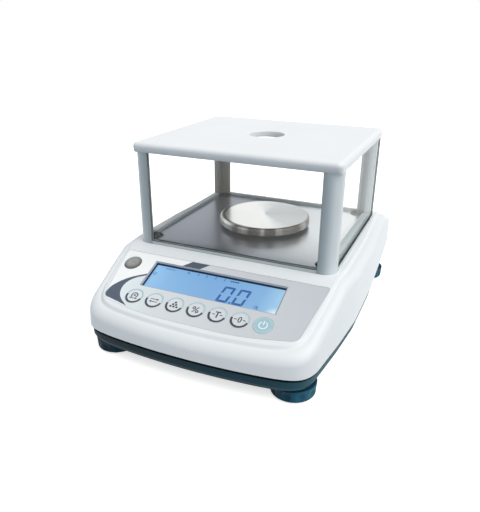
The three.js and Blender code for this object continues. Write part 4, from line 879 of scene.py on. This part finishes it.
def make_level():
    top, out = VIAL_HIGH.z, VIAL_RADIUS
    profile = [(0, VIAL_LOW.z), (out, VIAL_LOW.z), (out, top - 1), (out - 0.4, top - 0.6),
               (out - 1, top - 0.3), (out - 3, top), (0, top)]
    finish_piece(turned("vial", profile, *middle_of("level_vial"), 72), "level_vial_body", VIAL_PLASTIC,
                 ["level_vial"], angle=35)
    out = VIAL_RADIUS + FIT - 0.05
    dished = [(0, -2), (out, -2), (out, -0.45), (out - 0.25, -0.25), (out - 0.7, -0.3), (out - 1.4, -0.62),
              (out - 3, -0.8), (0, -0.85)]
    finish_piece(turned("glass", dished, VIAL_X, VIAL_S, 72, on_panel), "level_sight_glass", SIGHT_GLASS,
                 angle=35)
    ring = [(1.75, -0.86), (2.05, -0.86), (2.05, -0.78), (1.75, -0.78)]
    finish_piece(turned("ring", ring, VIAL_X, VIAL_S, 48, on_panel), "level_centre_ring", VIAL_PLASTIC)


# Pan, splash plate, shield and lid
def make_pan():
    radius, top, low = PAN_HIGH.x, PAN_HIGH.z, PAN_LOW.z
    edge, sheet, rim, eased, flat_end, under = 2.4, 1.2, 1.9, 0.25, 3.4, 0.5
    profile = [(0, top), (radius / 2, top), (radius - flat_end, top)]
    profile += arc(edge, 90, 0, 8, radius - edge, top - edge)
    profile += [(radius, low + eased), (radius - eased, low), (radius - sheet + eased, low),
                (radius - sheet, low + eased), (radius - sheet, top - 2 * sheet),
                (radius - 2 * sheet, top - sheet), (0, top - sheet)]
    pan = turned("pan", profile, 0, PAN_Y, 160)
    finish_piece(pan, "weighing_pan_sheet", [PAN_TOP_STEEL, PAN_SIDE_STEEL, DARK_STEEL],
                 ["weighing_pan"], "pan", angle=40)
    for face in pan.data.polygons:
        centre = face.center / MM
        if math.hypot(centre.x, centre.y - PAN_Y) > radius - rim:
            face.material_index = 1
        # Painted shade: the underside takes the dark steel.
        elif centre.z < top - under:
            face.material_index = 2


def make_plate():
    """A sheet turned down at its edge, notched round the plugs, with a lip that reaches the front pane."""
    x, front, rear, high = PLATE_HIGH.x, PLATE_LOW.y, PLATE_HIGH.y, PLATE_HIGH.z
    thick, corner, post, collar_gap, off_floor, off_rail = 1, 3, 12.4, 0.6, 0.05, 0.03
    plug_radius, plug_gap, lip_start, lip_lap, lip_short = 6.3, 0.3, 0.2, 1.5, 1
    notch = plug_radius + plug_gap + SEAM
    sheet = prism("sheet", rounded_box((-x, x), (front, rear), corner, corner), DECK_FLOOR + off_floor, high)
    under = rounded_box((thick - x, x - thick), (front + thick, rear - thick), corner - thick, corner - thick)
    cutters = [prism("under", under, DECK_FLOOR - OVERRUN, high - thick),
               drum(COLLAR + collar_gap, 0, DECK + OVERRUN, 0, PAN_Y)]
    for side in CORNERS:
        px, py = middle_of("corner_plug_" + side)
        cutters.append(drum(notch, 0, DECK + OVERRUN, px, py, 48))
        across = (px, x + OVERRUN) if px > 0 else (-x - OVERRUN, px)
        along = (front - OVERRUN, py + 0.01) if py < 0 else (FRAME_HIGH.y - post - SEAM, rear + OVERRUN)
        cutters.append(block(across, along, (0, DECK + OVERRUN)))
    combine(sheet, cutters)
    between = (edges_of("corner_plug_front_left")[1].x + lip_short,
               edges_of("corner_plug_front_right")[0].x - lip_short)
    lip = block(between, (edges_of("pane_front")[1].y + lip_start, front + lip_lap),
                (FRONT_RAIL + off_rail, high))
    combine(sheet, [lip], "UNION")
    finish_piece(sheet, "splash_plate_sheet", PLATE_STEEL, ["splash_plate"], edge=0.3)


def make_lid():
    half, front, rear, bottom, top = LID_HIGH.x, LID_LOW.y, LID_HIGH.y, LID_EDGE_LOW, LID_HIGH.z
    corner, edge_top, edge, wall, roof = 4.5, 147.2, 3.8, 6, 2.5
    hole, lip, boss, boss_deep = 14.8, 0.9, 17, 2.5
    rib_in, rib_thick, rib_share = 4.1, 2, 0.62

    def ring(inset, z):
        radius = max(corner - inset, 0.6)
        reach = half - inset - radius
        right = [(0, front + inset)] + arc(radius, -90, 0, 10, reach, front + inset + radius)
        right += arc(radius, 0, 90, 10, reach, rear - inset - radius) + [(0, rear - inset)]
        return [Vector((x, y, z)) for x, y in right] + [Vector((-x, y, z)) for x, y in reversed(right[1:-1])]

    rings = [ring(inset, z) for inset, z in (
        (wall + 0.4, top - roof), (wall, bottom + 0.3), (wall - 0.3, bottom), (0.8, bottom),
        (0.5, bottom + 0.12), (0.38, bottom + 0.4), (0, edge_top))]
    rings += [ring(edge * (1 - x), edge_top + (top - edge_top) * z) for x, z in arc(1, 0, 90, 12)[1:]]
    lid = loft("lid", rings)
    combine(lid, [drum(boss, top - roof - boss_deep, top - roof / 2, 0, PAN_Y)], "UNION")
    mouth = [(0, bottom), (hole, bottom), (hole, top - lip)] + arc(lip, 180, 90, 5, hole + lip, top - lip)[1:]
    mouth += [(hole + lip, top + OVERRUN), (0, top + OVERRUN)]
    combine(lid, [turned("mouth", mouth, 0, PAN_Y)])
    side, in_front, in_rear = FRAME_HIGH.x - rib_in, FRAME_LOW.y + rib_in, FRAME_HIGH.y - rib_in
    along = around((in_front + in_rear) / 2, (in_rear - in_front) / 2 * rib_share)
    ribs = [((-side, rib_thick - side), along), ((side - rib_thick, side), along),
            (around(0, side * rib_share), (in_rear - rib_thick, in_rear))]
    combine(lid, [block(x, y, (LID_LOW.z, top - roof / 2)) for x, y in ribs], "UNION")
    finish_piece(lid, "lid_cover", LID_ABS, ["shield_lid"], "lid", angle=32)


def make_panes():
    """Four acrylic sheets with their sawn edges a little eased, the edge a deep green from the side; the
    front pane's edges take the posts' painted-shade grey.
    """
    for name in ("pane_front", "pane_back", "pane_left", "pane_right"):
        low, high = edges_of(name)
        pane = block((low.x, high.x), (low.y, high.y), (low.z, high.z))
        thin = 0 if high.x - low.x < high.y - low.y else 1
        bevel = pane.modifiers.new("edge", "BEVEL")
        bevel.width, bevel.segments = 0.2 * MM, 1
        settle(pane)
        rim = FRAME_SHADE if name == "pane_front" else ACRYLIC_EDGE_AND_PAINTED_SHADE
        finish_piece(pane, name + "_sheet", [ACRYLIC, rim], [name], angle=20)
        for face in pane.data.polygons:
            if abs(face.normal[thin]) < 0.9:
                face.material_index = 1


def make_plugs():
    for side in CORNERS:
        low, high = edges_of("corner_plug_" + side)
        radius, top, spigot, seat = (high.x - low.x) / 2, high.z, 2.5, PLUG_SEAT + 0.02
        profile = [(0, low.z), (spigot, low.z), (spigot, seat), (radius, seat)]
        profile += arc(1, 0, 90, 6, radius - 1, top - 1)
        profile += [(radius - 2.2, top), (radius - 2.8, top - 0.35), (0, top - 0.5)]
        plug = turned("plug", profile, *middle_of("corner_plug_" + side), 64)
        finish_piece(plug, "shield_plug_" + side, RUBBER, ["corner_plug_" + side], angle=35)


def make_feet():
    """Levelling knobs with ten round dimples, hollow below for the pad."""
    dimples, sides, dent_deep, dent_reach, skirt_steps = 10, 160, 1.1, 3.6, 12
    bore, skirt_lean, skirt_low, pad_hollow, hollow_deep = 0.4, 0.5, 0.8, 4.7, 2.8
    for side in CORNERS:
        low, high = edges_of("foot_knob_" + side)
        x, y = middle_of("foot_knob_" + side)
        radius, tall = max(high.x - low.x, high.y - low.y) / 2, high.z - low.z
        rows = [(bore, 0), (radius - 1.2, 0), (radius - 0.7, 0.3)]
        rows += [(radius - skirt_lean + skirt_lean * i / skirt_steps,
                  skirt_low + (tall - 1.4) * i / skirt_steps) for i in range(skirt_steps + 1)]
        rows += [(radius - 0.15, tall - 0.25), (radius - 0.6, tall), (bore, tall)]
        points, faces = [], []
        for k, (r, z) in enumerate(rows):
            start, after = k * sides, (k + 1) % len(rows) * sides
            for i in range(sides):
                turn = math.tau * i / sides
                nearest = (round(turn / math.tau * dimples - 0.5) + 0.5) * math.tau / dimples
                away = math.hypot((turn - nearest) * radius, z - tall / 2)
                dent = dent_deep * max(0.0, 1 - (away / dent_reach) ** 2) if r > radius - 0.9 else 0
                out = r - dent
                points.append(Vector((x + out * math.cos(turn), y + out * math.sin(turn), low.z + z)))
                j = (i + 1) % sides
                faces.append((start + i, start + j, after + j, after + i))
        knob = body_of("knob", points, faces)
        combine(knob, [drum(pad_hollow, low.z - 1, low.z + hollow_deep, x, y, 48)])
        finish_piece(knob, "levelling_knob_" + side, KNOB_ABS, ["foot_knob_" + side],
                     "knob_" + side, angle=40)


def make_shade_strips():
    """Thin dark strips of painted shade along the gaps where the side and front panes stand on the frame."""
    near, side_low, side_wide, side_tall = 0.02, 68.42, 0.5, 0.58
    front_low, front_wide, front_tall, past_front_post, past_rear_post = 70.02, 0.4, 0.18, 14, 13
    pane = edges_of("pane_right")[1].x
    along = (FRAME_LOW.y + past_front_post, FRAME_HIGH.y - past_rear_post)
    for name, x in (("left", (-pane - side_wide, -pane - near)), ("right", (pane + near, pane + side_wide))):
        shade_strip = block(x, along, (side_low, side_low + side_tall))
        finish_piece(shade_strip, "pane_shade_strip_" + name, ACRYLIC_EDGE_AND_PAINTED_SHADE, edge=0.1)
    shade_strip = block(around(0, FRAME_HIGH.x - past_front_post), (FRAME_LOW.y + near, FRAME_LOW.y + front_wide),
                 (front_low, front_low + front_tall))
    finish_piece(shade_strip, "pane_shade_strip_front", SHADE_ABS, edge=0.1)


# Nodes that keep their own shape get their finish here
CARRIED = {
    "display_board": GLASS_FIBRE, "keypad_board": GLASS_FIBRE, "main_board": GLASS_FIBRE,
    "level_holder": BLACK_ABS, "pan_support": BLACK_ABS, "pan_pin": ZINC, "load_cell": ALUMINIUM,
    "load_cell_mount": ALUMINIUM, "load_arm": ALUMINIUM, "load_cell_bolt_1": ZINC, "load_cell_bolt_2": ZINC,
    "overload_stop": ZINC, "data_port": NICKEL, "power_jack": BLACK_ABS, "shield_frame": FRAME_ABS,
}
for corner_name in CORNERS:
    for kind, material in (("foot_pad_", RUBBER), ("foot_stud_", ZINC), ("foot_insert_", BRASS),
                           ("cover_screw_", ZINC)):
        CARRIED[kind + corner_name] = material


def finish_carried():
    weld_within, flat_within, worn_edge, sharp = 0.001, math.radians(0.5), 0.25, math.radians(50)
    for name, material in CARRIED.items():
        item = NODES[name]
        item.data.materials.clear()
        item.data.materials.append(material)
        item.modifiers.new("weld", "WELD").merge_threshold = weld_within * MM
        flat = item.modifiers.new("flats", "DECIMATE")
        flat.decimate_type, flat.angle_limit = "DISSOLVE", flat_within
        edge = item.modifiers.new("edge", "BEVEL")
        edge.width, edge.segments, edge.limit_method = worn_edge * MM, 2, "ANGLE"
        edge.angle_limit, edge.use_clamp_overlap = sharp, True
        item.modifiers.new("shading", "WEIGHTED_NORMAL").keep_sharp = False
        for face in item.data.polygons:
            face.use_smooth = True


def finish_frame():
    """Painted shade on the frame: the rear left post's inward faces are brownish grey, the left posts' inner
    sides a darker grey, and the faces at the rear right outer edge dark teal.
    """
    mesh = NODES["shield_frame"].data
    for material in (FRAME_BROWN, ACRYLIC_EDGE_AND_PAINTED_SHADE, FRAME_SHADE):
        mesh.materials.append(material)
    rail_top, post_x, post_y, edge_x, edge_y, edge_z = 74, -60, 45, 83.3, 50, 72
    for face in mesh.polygons:
        x, y, z = face.center / MM
        inward = face.normal.x > 0.3 or face.normal.y < -0.3
        if x < post_x and y > post_y and z > rail_top and inward:
            face.material_index = 1
        elif x < 0 and z > rail_top and face.normal.x > 0.5:
            face.material_index = 3
        elif x > edge_x and y > edge_y and z > edge_z:
            face.material_index = 2


# Studio
CAMERA_AZIMUTH, CAMERA_ELEVATION, CAMERA_ROLL = (math.radians(a) for a in (23.639, 23.388, 0.399))
CAMERA_TARGET, CAMERA_DISTANCE = Vector((-126.23, 228.90, -75.72)), 779.318
FOCAL_PIXELS, PHOTO_LONG_SIDE, SENSOR = 529.594, 512, 36
AMBIENT, TABLE_GLOW, TABLE_BOUNCE, TABLE_HALF = 0.5, 0.66, "#98a2a9", 6000
SUN_TOWARDS, SUN_STRENGTH, SUN_SPREAD, SUN_COLOUR = (0.5, -0.2, 0.84), 2.15, math.radians(60), "#fffefc"


def make_camera():
    back = Vector((math.sin(CAMERA_AZIMUTH) * math.cos(CAMERA_ELEVATION),
                   -math.cos(CAMERA_AZIMUTH) * math.cos(CAMERA_ELEVATION), math.sin(CAMERA_ELEVATION)))
    level = (-back).cross(Vector((0, 0, 1))).normalized()
    above = level.cross(-back)
    right = level * math.cos(CAMERA_ROLL) + above * math.sin(CAMERA_ROLL)
    up = above * math.cos(CAMERA_ROLL) - level * math.sin(CAMERA_ROLL)
    camera = bpy.data.objects.new("camera", bpy.data.cameras.new("camera"))
    bpy.context.scene.collection.objects.link(camera)
    camera.data.sensor_width = SENSOR
    camera.data.lens = FOCAL_PIXELS * SENSOR / PHOTO_LONG_SIDE
    camera.data.clip_start, camera.data.clip_end = 0.05, 50
    axes = Matrix((right, up, back)).transposed().to_4x4()
    camera.matrix_world = Matrix.Translation((CAMERA_TARGET + back * CAMERA_DISTANCE) * MM) @ axes
    bpy.context.scene.camera = camera


def make_world():
    """Soft ambient light on the object, and white wherever the camera, a mirror or glass looks past it."""
    world = bpy.data.worlds.new("studio")
    bpy.context.scene.world = world
    world.use_nodes = True
    tree = world.node_tree
    tree.nodes.clear()
    path = add(tree, "LightPath").outputs
    seen = add(tree, "Math", {"operation": "ADD"}, {0: path["Is Camera Ray"], 1: path["Is Glossy Ray"]})
    seen = add(tree, "Math", {"operation": "ADD", "use_clamp": True},
               {0: seen, 1: path["Is Transmission Ray"]})
    soft = add(tree, "Background", {"Color": linear("#e0e7ec"), "Strength": AMBIENT})
    white = add(tree, "Background", {"Color": linear("#ffffff"), "Strength": 1.0})
    both = add(tree, "MixShader", links={"Fac": seen, 1: soft, 2: white})
    add(tree, "OutputWorld", links={"Surface": both})


def make_table():
    """White paper that shows white and keeps the shadow, but throws only a dim light up at the object."""
    material, tree, place = new_material("lit_white_table")
    grain = add(tree, "TexNoise", {"Scale": per_metre(2), "Detail": 2}, {"Vector": place})
    bump = add(tree, "Bump", {"Strength": 0.1, "Distance": 0.05 * MM}, {"Height": grain})
    paper = add(tree, "BsdfPrincipled",
                {"Base Color": linear("#ffffff"), "Roughness": 0.9, "Specular IOR Level": 0.0,
                 "Emission Color": linear("#ffffff"), "Emission Strength": TABLE_GLOW}, {"Normal": bump})
    dim = add(tree, "BsdfDiffuse", {"Color": linear(TABLE_BOUNCE)})
    bounced = add(tree, "LightPath").outputs["Is Diffuse Ray"]
    both = add(tree, "MixShader", links={"Fac": bounced, 1: paper, 2: dim})
    table = block(around(0, TABLE_HALF), around(0, TABLE_HALF), (-20, -0.05))
    table.name = "studio_floor"
    table.data.materials.append(finished(material, tree, both))


def make_light():
    sun = bpy.data.objects.new("overhead_light", bpy.data.lights.new("overhead_light", "SUN"))
    sun.data.energy, sun.data.angle, sun.data.color = SUN_STRENGTH, SUN_SPREAD, linear(SUN_COLOUR)[:3]
    sun.rotation_euler = Vector(SUN_TOWARDS).to_track_quat("Z", "Y").to_euler()
    bpy.context.scene.collection.objects.link(sun)
    bpy.context.scene.view_settings.view_transform = "Standard"


for make in (make_housing, make_base, make_panel, make_window, make_display, make_keys, make_level,
             make_pan, make_plate, make_lid, make_panes, make_plugs, make_feet, finish_carried,
             finish_frame, make_shade_strips, make_camera, make_world, make_table, make_light):
    make()
